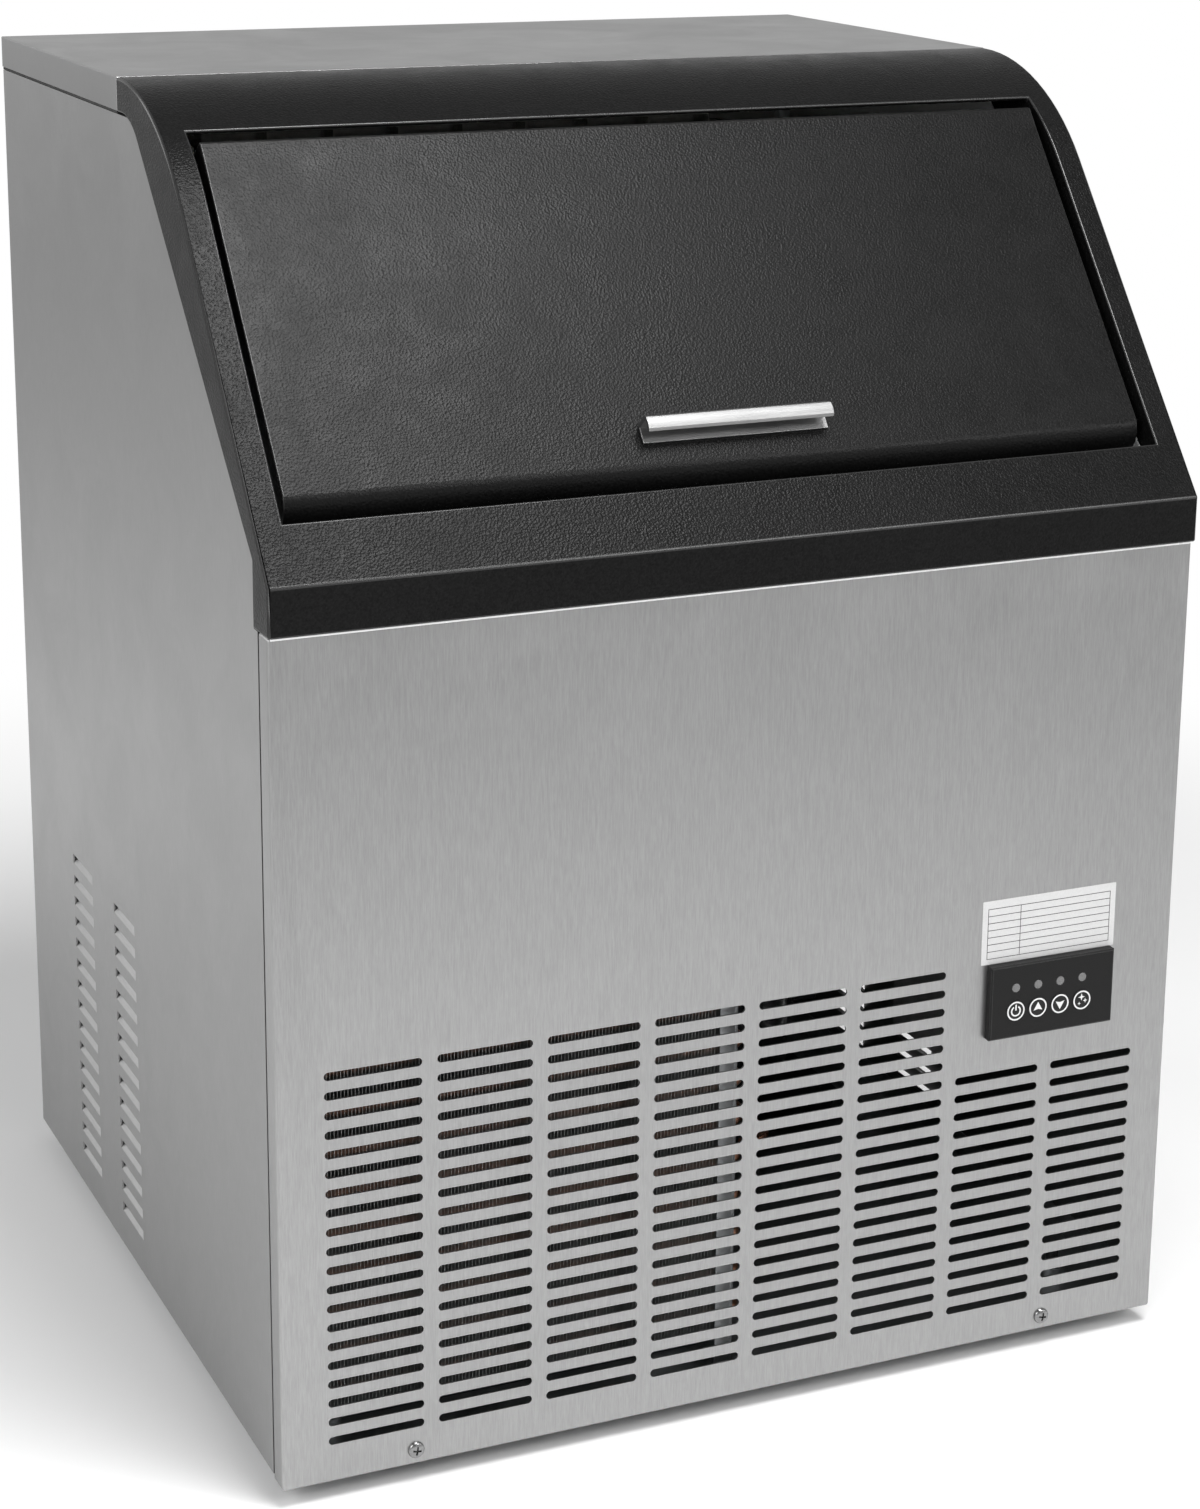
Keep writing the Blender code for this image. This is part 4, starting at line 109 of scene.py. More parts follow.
def brushing_group():
    """Fine parallel scratches: Stretch is large across the scratches and small along them."""
    tree, start, end = new_group(
        "sheet_brushing",
        [("Vector", "NodeSocketVector", None), ("Stretch", "NodeSocketVector", (900, 900, 6))],
        [("Streak", "NodeSocketFloat"), ("Fine", "NodeSocketFloat")],
    )
    scale = node(tree, "VectorMath", {"operation": "MULTIPLY"})
    wide = node(tree, "TexNoise", None, {"Scale": 0.3, "Detail": 2.0, "Roughness": 0.5})
    thin = node(tree, "TexNoise", None, {"Scale": 1.0, "Detail": 2.0, "Roughness": 0.7})
    wire(
        tree,
        (start.outputs["Vector"], scale.inputs[0]),
        (start.outputs["Stretch"], scale.inputs[1]),
        (scale.outputs[0], wide.inputs["Vector"]),
        (scale.outputs[0], thin.inputs["Vector"]),
        (wide.outputs["Fac"], end.inputs["Streak"]),
        (thin.outputs["Fac"], end.inputs["Fine"]),
    )
    return tree


SMUDGES_TO_A_CLOUD = 6.0


def cloud_group():
    """Slow, soft unevenness such as handling marks and a film of dust."""
    tree, start, end = new_group(
        "soft_unevenness",
        [("Vector", "NodeSocketVector", None), ("Size", "NodeSocketFloat", 4.0)],
        [("Cloud", "NodeSocketFloat"), ("Smudge", "NodeSocketFloat")],
    )
    slow = node(tree, "TexNoise", None, {"Detail": 2.0, "Roughness": 0.5})
    quick = node(tree, "TexNoise", None, {"Detail": 5.0, "Roughness": 0.65, "Distortion": 0.6})
    more = calculate(tree, "MULTIPLY", SMUDGES_TO_A_CLOUD)
    wire(
        tree,
        (start.outputs["Vector"], slow.inputs["Vector"]),
        (start.outputs["Vector"], quick.inputs["Vector"]),
        (start.outputs["Size"], slow.inputs["Scale"]),
        (start.outputs["Size"], more.inputs[0]),
        (more.outputs[0], quick.inputs["Scale"]),
        (slow.outputs["Fac"], end.inputs["Cloud"]),
        (quick.outputs["Fac"], end.inputs["Smudge"]),
    )
    return tree


SPECK_SHARE = 0.5


def grain_group():
    """The pebbled skin of moulded plastic."""
    tree, start, end = new_group(
        "moulded_grain",
        [("Vector", "NodeSocketVector", None), ("Size", "NodeSocketFloat", 900.0)],
        [("Height", "NodeSocketFloat"), ("Tone", "NodeSocketFloat")],
    )
    cells = node(tree, "TexVoronoi", {"feature": "SMOOTH_F1"}, {"Smoothness": 0.6})
    speck = node(tree, "TexNoise", None, {"Detail": 2.0})
    blend = calculate(tree, "ADD")
    part = calculate(tree, "MULTIPLY", SPECK_SHARE)
    wire(
        tree,
        (start.outputs["Vector"], cells.inputs["Vector"]),
        (start.outputs["Vector"], speck.inputs["Vector"]),
        (start.outputs["Size"], cells.inputs["Scale"]),
        (start.outputs["Size"], speck.inputs["Scale"]),
        (speck.outputs["Fac"], part.inputs[0]),
        (cells.outputs["Distance"], blend.inputs[0]),
        (part.outputs[0], blend.inputs[1]),
        (blend.outputs[0], end.inputs["Height"]),
        (speck.outputs["Fac"], end.inputs["Tone"]),
    )
    return tree


BRUSHING = brushing_group()
CLOUDS = cloud_group()
GRAIN = grain_group()


def new_material(name, constants):
    made = bpy.data.materials.new(name)
    made.use_nodes = True
    shader = made.node_tree.nodes["Principled BSDF"]
    for key, value in constants.items():
        shader.inputs[key].default_value = value
    return made, made.node_tree, shader


def placed(tree, group, inputs):
    made = tree.nodes.new("ShaderNodeGroup")
    made.node_tree = group
    for key, value in inputs.items():
        made.inputs[key].default_value = value
    return made


def two_tone(tree, factor, dark, bright):
    blend = node(tree, "Mix", {"data_type": "RGBA"})
    blend.inputs[6].default_value = (*dark, 1.0)
    blend.inputs[7].default_value = (*bright, 1.0)
    wire(tree, (factor, blend.inputs[0]))
    return blend.outputs[2]


def pattern(tree, group, inputs, cloud_size):
    """A finish's own pattern and the slow clouds, both laid out in metres."""
    place = node(tree, "TexCoord").outputs["Object"]
    own = placed(tree, group, inputs)
    cloud = placed(tree, CLOUDS, {"Size": cloud_size})
    wire(tree, (place, own.inputs["Vector"]), (place, cloud.inputs["Vector"]))
    return own.outputs, cloud.outputs


def added(tree, wide, share, fine):
    """The fine pattern with a share of the wide one on top."""
    made = calculate(tree, "MULTIPLY_ADD", share)
    wire(tree, (wide, made.inputs[0]), (fine, made.inputs[2]))
    return made.outputs[0]


def tint(tree, mask, span, tones, target):
    """Blends two tones into a colour socket, over the span of values that the mask takes."""
    level = ramp(tree, *span, 0.0, 1.0)
    wire(tree, (mask, level.inputs["Value"]))
    wire(tree, (two_tone(tree, level.outputs[0], *tones), target))


def roughen(tree, smudge, span, ends, target):
    matte = ramp(tree, *span, *ends)
    wire(tree, (smudge, matte.inputs["Value"]), (matte.outputs[0], target))


def emboss(tree, height, strength, depth, target):
    bump = node(tree, "Bump", None, {"Strength": strength, "Distance": depth})
    wire(tree, (height, bump.inputs["Height"]), (bump.outputs[0], target))


SCRATCH_DEPTH = 0.00002
SCRATCH_WIDE_SHARE = 0.12
SCRATCH_SPAN = (0.36, 0.76)
METAL_CLOUDS = 2.2
METAL_SMUDGE_SPAN = (0.35, 0.65)
METAL_SMOOTHER = 0.03
METAL_ROUGHER = 0.04


def brushed_metal(name, dark, bright, stretch, rough, bite=0.05):
    made, tree, shader = new_material(name, {"Metallic": 1.0})
    scratch, cloud = pattern(tree, BRUSHING, {"Stretch": stretch}, METAL_CLOUDS)
    streak = added(tree, scratch["Streak"], SCRATCH_WIDE_SHARE, scratch["Fine"])
    roughness = (rough - METAL_SMOOTHER, rough + METAL_ROUGHER)
    tint(tree, streak, SCRATCH_SPAN, (dark, bright), shader.inputs["Base Color"])
    roughen(tree, cloud["Smudge"], METAL_SMUDGE_SPAN, roughness, shader.inputs["Roughness"])
    emboss(tree, streak, bite, SCRATCH_DEPTH, shader.inputs["Normal"])
    return made


MILLIMETRE = 0.001
PEBBLE_STRENGTH = 0.8
PEBBLE_CLOUD_SHARE = 0.3
PEBBLE_SPAN = (0.40, 0.90)
PLASTIC_CLOUDS = 5.0
PLASTIC_SMUDGE_SPAN = (0.3, 0.7)
PLASTIC_VARIES = 0.05


def moulded(name, dark, bright, rough, grain=900.0, depth=0.06, coat=0.0, sheen=0.5):
    made, tree, shader = new_material(name, {"Coat Weight": coat, "Specular IOR Level": sheen})
    skin, cloud = pattern(tree, GRAIN, {"Size": grain}, PLASTIC_CLOUDS)
    mixed = added(tree, cloud["Cloud"], PEBBLE_CLOUD_SHARE, skin["Tone"])
    roughness = (rough - PLASTIC_VARIES, rough + PLASTIC_VARIES)
    tint(tree, mixed, PEBBLE_SPAN, (dark, bright), shader.inputs["Base Color"])
    roughen(tree, cloud["Smudge"], PLASTIC_SMUDGE_SPAN, roughness, shader.inputs["Roughness"])
    emboss(tree, skin["Height"], PEBBLE_STRENGTH, depth * MILLIMETRE, shader.inputs["Normal"])
    return made


def grey(value):
    return (value, value, value)


# Metals: dark tone, bright tone, stretch of the scratches, roughness, depth of the scratches
FRONT_STEEL = brushed_metal("front_steel", grey(0.335), grey(0.400), (1400, 1400, 90), 0.34)
# Side steel: darker than the front steel, painted shade on the sides of the cabinet
SIDE_SHADED_STEEL = brushed_metal("painted_shade_side_steel", grey(0.325), grey(0.365), (1400, 1400, 90), 0.36)
COVER_STEEL = brushed_metal("cover_steel", grey(0.290), grey(0.330), (90, 1400, 1400), 0.36)
# Flap steel: lighter than the side steel, painted light on the up-facing louvre flaps
FLAP_LIT_STEEL = brushed_metal("painted_lit_flap_steel", grey(0.42), grey(0.47), (1400, 90, 1400), 0.36)
# Hem steel: near-white tones that paint the highlight along the folded top edge
HEM_HIGHLIGHT_STEEL = brushed_metal("painted_hem_highlight", grey(0.88), grey(0.95), (300, 750, 750), 0.30)
ZINC = brushed_metal("zinc_sheet", (0.40, 0.41, 0.42), (0.50, 0.51, 0.52), (60, 60, 60), 0.44)
PULL_METAL = brushed_metal("pull_aluminium", grey(0.27), grey(0.34), (40, 1500, 1500), 0.45, 0.10)
FIN_METAL = brushed_metal("fin_aluminium", grey(0.40), grey(0.52), (300, 300, 20), 0.38)
COPPER = brushed_metal("copper_tube", (0.52, 0.24, 0.14), (0.70, 0.36, 0.24), (90, 90, 90), 0.27)
NICKEL = brushed_metal("nickel_plate", (0.55, 0.54, 0.51), (0.66, 0.65, 0.62), (150, 150, 150), 0.24)
SCREW = brushed_metal("screw_metal", grey(0.22), grey(0.32), (900, 900, 900), 0.16)

# Mouldings: dark tone, bright tone, roughness, pebbles to a metre, depth in mm, coat, sheen
TRIM = moulded("trim_plastic", grey(0.002), grey(0.009), 0.34, 750.0, 0.30, 0.0, 0.11)
DOOR_SKIN = moulded("door_plastic", grey(0.003), grey(0.010), 0.36, 750.0, 0.22, 0.0, 0.13)
TRIM_EDGE = moulded("trim_edge", grey(0.010), grey(0.016), 0.27, 1500.0, 0.02, 0.0, 0.55)
PANEL_BLACK = moulded("panel_plastic", grey(0.010), grey(0.015), 0.44, 1500.0, 0.04, 0.0, 0.14)
KEY_BLACK = moulded("key_plastic", grey(0.013), grey(0.019), 0.40, 1500.0, 0.03, 0.0, 0.18)
LENS = moulded("lens_plastic", grey(0.12), grey(0.17), 0.25, 2500.0, 0.01, 0.4)
PRINT = moulded("print_white", grey(0.70), grey(0.78), 0.5, 3000.0, 0.01)
WHITE_PLASTIC = moulded("liner_plastic", (0.70, 0.71, 0.71), (0.78, 0.79, 0.79), 0.36, 700.0, 0.04)
CLEAR_PLASTIC = moulded("milky_plastic", (0.66, 0.69, 0.70), (0.74, 0.77, 0.78), 0.25, 700.0, 0.03)
FOAM = moulded("rigid_foam", (0.62, 0.55, 0.37), (0.76, 0.68, 0.48), 0.85, 500.0, 0.5)
RUBBER = moulded("black_rubber", grey(0.012), grey(0.024), 0.75, 900.0, 0.05)
BLACK_PAINT = moulded("black_enamel", grey(0.012), grey(0.020), 0.30, 450.0, 0.05, 0.3)
LABEL_FACE = moulded("label_film", grey(0.60), grey(0.66), 0.42, 1200.0, 0.01)
LABEL_INK = moulded("label_ink", grey(0.03), grey(0.05), 0.45, 1200.0, 0.01)


# Mesh helpers


# Angles past which an edge is shaded as a corner, and the one that only square corners pass
ROUND_ANGLE = math.radians(32)
SHEET_ANGLE = math.radians(25)
SQUARE = 1.0

# Distances at which points count as being on a face, or as one point
TOUCHING = 0.0001
MERGED = 0.00001

QUARTER_TURN = math.pi / 2
HANDS = (("left", -1), ("right", 1))


def shade(mesh, angle):
    for face in mesh.polygons:
        face.use_smooth = True
    mesh.set_sharp_from_angle(angle=angle)


def add_piece(name, bm, material, body, angle=ROUND_ANGLE, moved=True):
    if moved:
        bmesh.ops.translate(bm, verts=bm.verts, vec=TO_FRAME)
    mesh = bpy.data.meshes.new(name)
    bm.to_mesh(mesh)
    bm.free()
    shade(mesh, angle)
    made = bpy.data.objects.new(name, mesh)
    bpy.context.scene.collection.objects.link(made)
    mesh.materials.append(material)
    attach(made, body)
    return made


def slab(bm, low, high):
    made = bmesh.ops.create_cube(bm, size=1.0)["verts"]
    low = Vector(low)
    size = Vector(high) - low
    bmesh.ops.scale(bm, verts=made, vec=size)
    bmesh.ops.translate(bm, verts=made, vec=low + size / 2)
    return made


def edges_of(verts):
    return list(dict.fromkeys(edge for vert in verts for edge in vert.link_edges))


def soften(bm, edges, width, segments=2):
    return bmesh.ops.bevel(
        bm,
        geom=edges,
        offset=width,
        segments=segments,
        profile=0.5,
        affect="EDGES",
        clamp_overlap=True,
        material=-1,
    )["faces"]


def sharp_edges(bm, angle):
    return [e for e in bm.edges if len(e.link_faces) == 2 and e.calc_face_angle() > angle]


def turned(bm, verts, angle, axis):
    bmesh.ops.rotate(bm, verts=verts, matrix=Matrix.Rotation(angle, 3, axis))


def within(value, span):
    return span[0] < value < span[1]


def applied(made):
    """Replaces an object's mesh with its evaluated one and drops its modifiers."""
    bpy.context.view_layer.update()
    graph = bpy.context.evaluated_depsgraph_get()
    mesh = bpy.data.meshes.new_from_object(made.evaluated_get(graph))
    made.modifiers.clear()
    made.data = mesh
    return mesh


def cut_with(made, cutter):
    """Cuts the cutter's shape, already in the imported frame, out of a piece."""
    mesh = bpy.data.meshes.new("cutter")
    cutter.to_mesh(mesh)
    cutter.free()
    tool = bpy.data.objects.new("cutter", mesh)
    bpy.context.scene.collection.objects.link(tool)
    step = made.modifiers.new("cut", "BOOLEAN")
    step.operation = "DIFFERENCE"
    step.solver = "EXACT"
    step.object = tool
    applied(made)
    bpy.data.objects.remove(tool, do_unlink=True)


FINE = math.radians(38)
FLAT = math.radians(0.5)
CAD_MERGED = 0.00002


def dressed(name, cad_node, material, width, segments=2, limit=FINE, shape=None, edge=None):
    """A finer copy of a CAD node: merged, with its sharp edges rounded, in place of the node.

    shape changes the copy first, and edge is a second material for the rounded edges."""
    source = frame["nodes"][cad_node]
    bm = bmesh.new()
    bm.from_mesh(source.data)
    bmesh.ops.remove_doubles(bm, verts=bm.verts, dist=CAD_MERGED)
    bmesh.ops.dissolve_limit(bm, angle_limit=FLAT, verts=bm.verts, edges=bm.edges, delimit=set())
    if shape:
        shape(bm)
    if width:
        rounded = soften(bm, sharp_edges(bm, limit), width, segments)
        if edge:
            for face in rounded:
                face.material_index = 1
    made = add_piece(name, bm, material, source["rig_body"], moved=False)
    if edge:
        made.data.materials.append(edge)
    even = made.modifiers.new("even_shading", "WEIGHTED_NORMAL")
    even.keep_sharp = True
    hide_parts(cad_node)
    return made


# Front sheet with its slots


CUTTER_DEPTH = 0.008
SLOT_LENGTH = 0.060
SLOT_HEIGHT = 0.0052
SLOT_SIDES = 20
SLOT_ROWS = (20, 20, 20, 20, 20, 20, 14, 14)
SLOT_FIRST_X = -0.2711
SLOT_PITCH_X = 0.0694
SLOT_FIRST_Z = 0.0269
SLOT_PITCH_Z = 0.01215


def slot_cutters():
    """A rounded bar for every slot; the last two columns stop under the push-button panel."""
    bm = bmesh.new()
    radius = SLOT_HEIGHT / 2
    ring = bmesh.ops.create_circle(bm, segments=SLOT_SIDES, radius=radius, cap_ends=True)["verts"]
    turned(bm, ring, math.radians(180 / SLOT_SIDES), "Z")
    far = [v for v in ring if v.co.x > 0]
    bmesh.ops.translate(bm, verts=far, vec=(SLOT_LENGTH - SLOT_HEIGHT, 0, 0))
    turned(bm, ring, QUARTER_TURN, "X")
    spot = (SLOT_FIRST_X + radius, CUTTER_DEPTH / 2, SLOT_FIRST_Z)
    bmesh.ops.translate(bm, verts=ring, vec=spot)
    depth = bmesh.ops.extrude_face_region(bm, geom=list(bm.faces))["geom"]
    front = [v for v in depth if isinstance(v, bmesh.types.BMVert)]
    bmesh.ops.translate(bm, verts=front, vec=(0, -CUTTER_DEPTH, 0))
    bmesh.ops.recalc_face_normals(bm, faces=bm.faces)
    first = list(bm.verts) + list(bm.edges) + list(bm.faces)
    for column, rows in enumerate(SLOT_ROWS):
        for row in range(rows):
            if row == column == 0:
                continue
            copy = bmesh.ops.duplicate(bm, geom=first)["geom"]
            corners = [v for v in copy if isinstance(v, bmesh.types.BMVert)]
            away = Vector((column * SLOT_PITCH_X, 0, row * SLOT_PITCH_Z))
            bmesh.ops.translate(bm, verts=corners, vec=away)
    bmesh.ops.translate(bm, verts=bm.verts, vec=TO_FRAME)
    return bm


SCREW_X = 0.2165
SCREW_Z = 0.0096
SCREW_HOLE = 0.0024
SCREW_HOLE_SIDES = 20
HEAD_RADIUS = 0.0052
HEAD_HEIGHT = 0.0025
HEAD_GAP = 0.0002
SHANK_RADIUS = 0.0021
SHANK_END = 0.0078
DOME_STEPS = 6
DOME_FULLNESS = 0.8
SCREW_SIDES = 32
CROSS_LENGTH = 0.0054
CROSS_WIDTH = 0.0012
CROSS_DEPTH = 0.0022
CROSS_OVER = 0.001
CROSS_TURN = math.radians(10)


def screw_outline():
    """Radius and depth from the top of the dome to the end of the shank."""
    dome = []
    for step in range(DOME_STEPS):
        turn = math.radians(90 * step / DOME_STEPS)
        height = HEAD_HEIGHT * math.cos(turn) ** DOME_FULLNESS
        dome.append((HEAD_RADIUS * math.sin(turn), -HEAD_GAP - height))
    rim = [(HEAD_RADIUS, -HEAD_GAP), (SHANK_RADIUS, -HEAD_GAP)]
    return dome + rim + [(SHANK_RADIUS, SHANK_END), (0, SHANK_END)]


def make_front_screws():
    """Domed screws with a cross recess."""
    for hand, side in HANDS:
        bm = bmesh.new()
        verts = [bm.verts.new((radius, y, 0)) for radius, y in screw_outline()]
        edges = [bm.edges.new(pair) for pair in zip(verts, verts[1:])]
        bmesh.ops.spin(
            bm,
            geom=verts + edges,
            cent=(0, 0, 0),
            axis=(0, 1, 0),
            angle=2 * math.pi,
            steps=SCREW_SIDES,
            use_merge=True,
        )
        bmesh.ops.remove_doubles(bm, verts=bm.verts, dist=MERGED)
        bmesh.ops.recalc_face_normals(bm, faces=bm.faces)
        spot = Vector((side * SCREW_X, 0, SCREW_Z))
        bmesh.ops.translate(bm, verts=bm.verts, vec=spot)
        made = add_piece(f"panel_screw_{hand}", bm, SCREW, "cabinet")
        top = -HEAD_GAP - HEAD_HEIGHT
        corner = Vector((CROSS_LENGTH / 2, top + CROSS_DEPTH, CROSS_WIDTH / 2))
        for turn in (CROSS_TURN, CROSS_TURN + QUARTER_TURN):
            arm = bmesh.new()
            bar = slab(arm, (-corner.x, top - CROSS_OVER, -corner.z), corner)
            turned(arm, bar, turn, "Y")
            bmesh.ops.translate(arm, verts=bar, vec=spot + TO_FRAME)
            cut_with(made, arm)
        shade(made.data, ROUND_ANGLE)
        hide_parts(f"front_screw_{hand}")


SEAM = 0.0020
SEAM_INSET = 0.0004
SEAM_REACH = 0.010
SEAM_END_GAP = 0.001
SEAM_CORNER = 0.0003


def make_seam_shade_strips():
    """Dark rubber strips in the joints between the ends of the front sheet and the side sheets,
    standing in for the shade in those gaps.
    """
    for hand, side in HANDS:
        bm = bmesh.new()
        ends = sorted((side * (HALF_WIDTH - SEAM_INSET), side * (HALF_WIDTH - SEAM_REACH)))
        low = (ends[0], PANEL_RETURN - SEAM, SEAM_END_GAP)
        slab(bm, low, (ends[1], PANEL_RETURN, PANEL_TOP - SEAM_END_GAP))
        soften(bm, sharp_edges(bm, SQUARE), SEAM_CORNER, 2)
        # The black rubber here is painted shade: it darkens the gap where the sheets meet
        add_piece(f"seam_{hand}", bm, RUBBER, "cabinet")


BEND = 0.0020
BEND_STEPS = 5


def screw_hole_cutters():
    bm = bmesh.new()
    for _, side in HANDS:
        bar = bmesh.ops.create_cone(
            bm,
            cap_ends=True,
            segments=SCREW_HOLE_SIDES,
            radius1=SCREW_HOLE,
            radius2=SCREW_HOLE,
            depth=CUTTER_DEPTH,
        )["verts"]
        turned(bm, bar, QUARTER_TURN, "X")
        spot = Vector((side * SCREW_X, 0, SCREW_Z))
        bmesh.ops.translate(bm, verts=bar, vec=spot + TO_FRAME)
    return bm


def make_front_sheet():
    """A sheet bent back all round, with slots and two screw holes."""
    bm = bmesh.new()
    back_y = PANEL_RETURN - SEAM
    slab(bm, (-HALF_WIDTH, 0, 0), (HALF_WIDTH, back_y, PANEL_TOP))
    back = [f for f in bm.faces if f.calc_center_median().y > back_y - TOUCHING]
    bmesh.ops.delete(bm, geom=back, context="FACES")
    front = [e for e in bm.edges if all(v.co.y < TOUCHING for v in e.verts)]
    corners = [
        e
        for e in bm.edges
        if abs(e.verts[0].co.y - e.verts[1].co.y) > back_y / 2 and len(e.link_faces) == 2
    ]
    soften(bm, front + corners, BEND, BEND_STEPS)
    bmesh.ops.recalc_face_normals(bm, faces=bm.faces)
    bmesh.ops.solidify(bm, geom=list(bm.faces), thickness=STEEL)
    made = add_piece("front_sheet", bm, FRONT_STEEL, "cabinet", SHEET_ANGLE)
    cut_with(made, slot_cutters())
    cut_with(made, screw_hole_cutters())
    shade(made.data, SHEET_ANGLE)
    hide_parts("front_panel")


HEM_LOW = 0.5192
HEM_TOP = 0.5205
HEM_PROUD = 0.0007
HEM_BACK = 0.0002
HEM_END = 0.2985
HEM_CORNER = 0.0003


def make_hem_highlight():
    """The folded edge under the front frame, in near-white steel: a painted highlight."""
    bm = bmesh.new()
    slab(bm, (-HEM_END, -HEM_PROUD, HEM_LOW), (HEM_END, HEM_BACK, HEM_TOP))
    soften(bm, sharp_edges(bm, SQUARE), HEM_CORNER, 3)
    add_piece("top_hem", bm, HEM_HIGHLIGHT_STEEL, "cabinet")


# Indicator label: a bare ruled film


LABEL_LEFT = 0.1606
LABEL_RIGHT = 0.2573
LABEL_LOW = 0.2604
LABEL_HIGH = 0.3024
LABEL_FILM = 0.00012
LABEL_CORNER = 0.00048
LABEL_ROWS = 7
LABEL_MARGIN = 0.0043
LABEL_FOOT = 0.0034
LABEL_HEAD = 0.0056
LABEL_DIVIDER_SHARE = 0.26
RULE_WIDTH = 0.00042
RULE_LIFT = 0.00002


def make_label():
    """A thin film, and its rules as a second piece that stands a little in front of it."""
    bm = bmesh.new()
    back = -RULE_LIFT
    face = back - LABEL_FILM
    slab(bm, (LABEL_LEFT, face, LABEL_LOW), (LABEL_RIGHT, back, LABEL_HIGH))
    through = [e for e in bm.edges if abs(e.verts[0].co.y - e.verts[1].co.y) > LABEL_FILM / 2]
    soften(bm, through, LABEL_CORNER, 3)
    add_piece("indicator_label", bm, LABEL_FACE, "cabinet")
    bm = bmesh.new()
    left = LABEL_LEFT + LABEL_MARGIN
    right = LABEL_RIGHT - LABEL_MARGIN
    low = LABEL_LOW + LABEL_FOOT
    high = LABEL_HIGH - LABEL_HEAD
    divider = left + (right - left) * LABEL_DIVIDER_SHARE
    row_height = (high - low) / LABEL_ROWS
    front = face - RULE_LIFT * 2
    for row in range(LABEL_ROWS + 1):
        z = low + row * row_height
        slab(bm, (left, front, z), (right, face - RULE_LIFT, z + RULE_WIDTH))
    for x in (left - RULE_WIDTH, divider, right):
        slab(bm, (x, front, low), (x + RULE_WIDTH, face - RULE_LIFT, high + RULE_WIDTH))
    add_piece("label_rules", bm, LABEL_INK, "cabinet")


# Push-button panel


KEY_FIRST_X = 0.1834
KEY_PITCH = 0.0161
KEY_Z = 0.2292
PRINT_LIFT = 0.00006
PRINT_FILM = 0.00005
KEY_SETBACK = 0.00015
KEY_FACE = KEYS_Y + KEY_SETBACK
RING_RADIUS = 0.0063
RING_STROKE = 0.0010
RING_STEPS = 40
POWER_RADIUS = 0.0036
POWER_STROKE = 0.0010
POWER_STEPS = 48
POWER_OPENING = 0.55
POWER_BAR = 1.1
POWER_BAR_RISE = 0.65
ARROW_RADIUS = 0.0037
ARROW_NOTCH = 0.0008
SPARKLES = ((-0.0003, 0.0020, 0.0025), (0.0024, -0.0006, 0.0017), (-0.0019, -0.0022, 0.0013))
SPARKLE_WAIST = 0.34


def printed(name, bm, number):
    """Turns a flat print, drawn in x and z, into a thin film on a key's face."""
    turned(bm, bm.verts, QUARTER_TURN, "X")
    bmesh.ops.solidify(bm, geom=list(bm.faces), thickness=PRINT_FILM)
    away = (KEY_FIRST_X + (number - 1) * KEY_PITCH, KEY_FACE - PRINT_LIFT, KEY_Z)
    bmesh.ops.translate(bm, verts=bm.verts, vec=away)
    bmesh.ops.recalc_face_normals(bm, faces=bm.faces)
    add_piece(f"{name}_{number}", bm, PRINT, f"button_{number}")


def flat_ring(bm, radius, stroke, steps):
    outer = bmesh.ops.create_circle(bm, segments=steps, radius=radius)["verts"]
    inner = bmesh.ops.create_circle(bm, segments=steps, radius=radius - stroke)["verts"]
    bmesh.ops.bridge_loops(bm, edges=edges_of(outer + inner))


def power_mark(bm):
    """A ring that is open at the top, with a bar in its opening."""
    flat_ring(bm, POWER_RADIUS, POWER_STROKE, POWER_STEPS)
    gone = []
    for face in bm.faces:
        spot = face.calc_center_median()
        if spot.y > 0 and abs(math.atan2(spot.x, spot.y)) < POWER_OPENING:
            gone.append(face)
    bmesh.ops.delete(bm, geom=gone, context="FACES")
    bar = bmesh.ops.create_grid(bm, x_segments=1, y_segments=1, size=0.5)["verts"]
    bmesh.ops.scale(bm, verts=bar, vec=(POWER_STROKE, POWER_RADIUS * POWER_BAR, 1))
    bmesh.ops.translate(bm, verts=bar, vec=(0, POWER_RADIUS * POWER_BAR_RISE, 0))


def arrow_mark(bm, up):
    """A triangle with its base drawn in a little at the middle."""
    corners = bmesh.ops.create_circle(bm, segments=6, radius=ARROW_RADIUS, cap_ends=True)["verts"]
    for index in (1, 3, 5):
        corners[index].co = (corners[index - 1].co + corners[(index + 1) % 6].co) / 2
    corners[3].co.y += ARROW_NOTCH
    if not up:
        turned(bm, bm.verts, math.pi, "Z")


def sparkle_marks(bm):
    """Three four-pointed stars."""
    for x, z, radius in SPARKLES:
        star = bmesh.ops.create_circle(bm, segments=8, radius=radius, cap_ends=True)["verts"]
        bmesh.ops.scale(bm, verts=star[1::2], vec=(SPARKLE_WAIST, SPARKLE_WAIST, 1))
        bmesh.ops.translate(bm, verts=star, vec=(x, z, 0))


def make_key_prints():
    marks = (
        power_mark,
        lambda bm: arrow_mark(bm, True),
        lambda bm: arrow_mark(bm, False),
        sparkle_marks,
    )
    for number, mark in enumerate(marks, 1):
        bm = bmesh.new()
        flat_ring(bm, RING_RADIUS, RING_STROKE, RING_STEPS)
        printed("key_ring", bm, number)
        bm = bmesh.new()
        mark(bm)
        printed("key_mark", bm, number)


# Condenser: fins, tubes and end plates


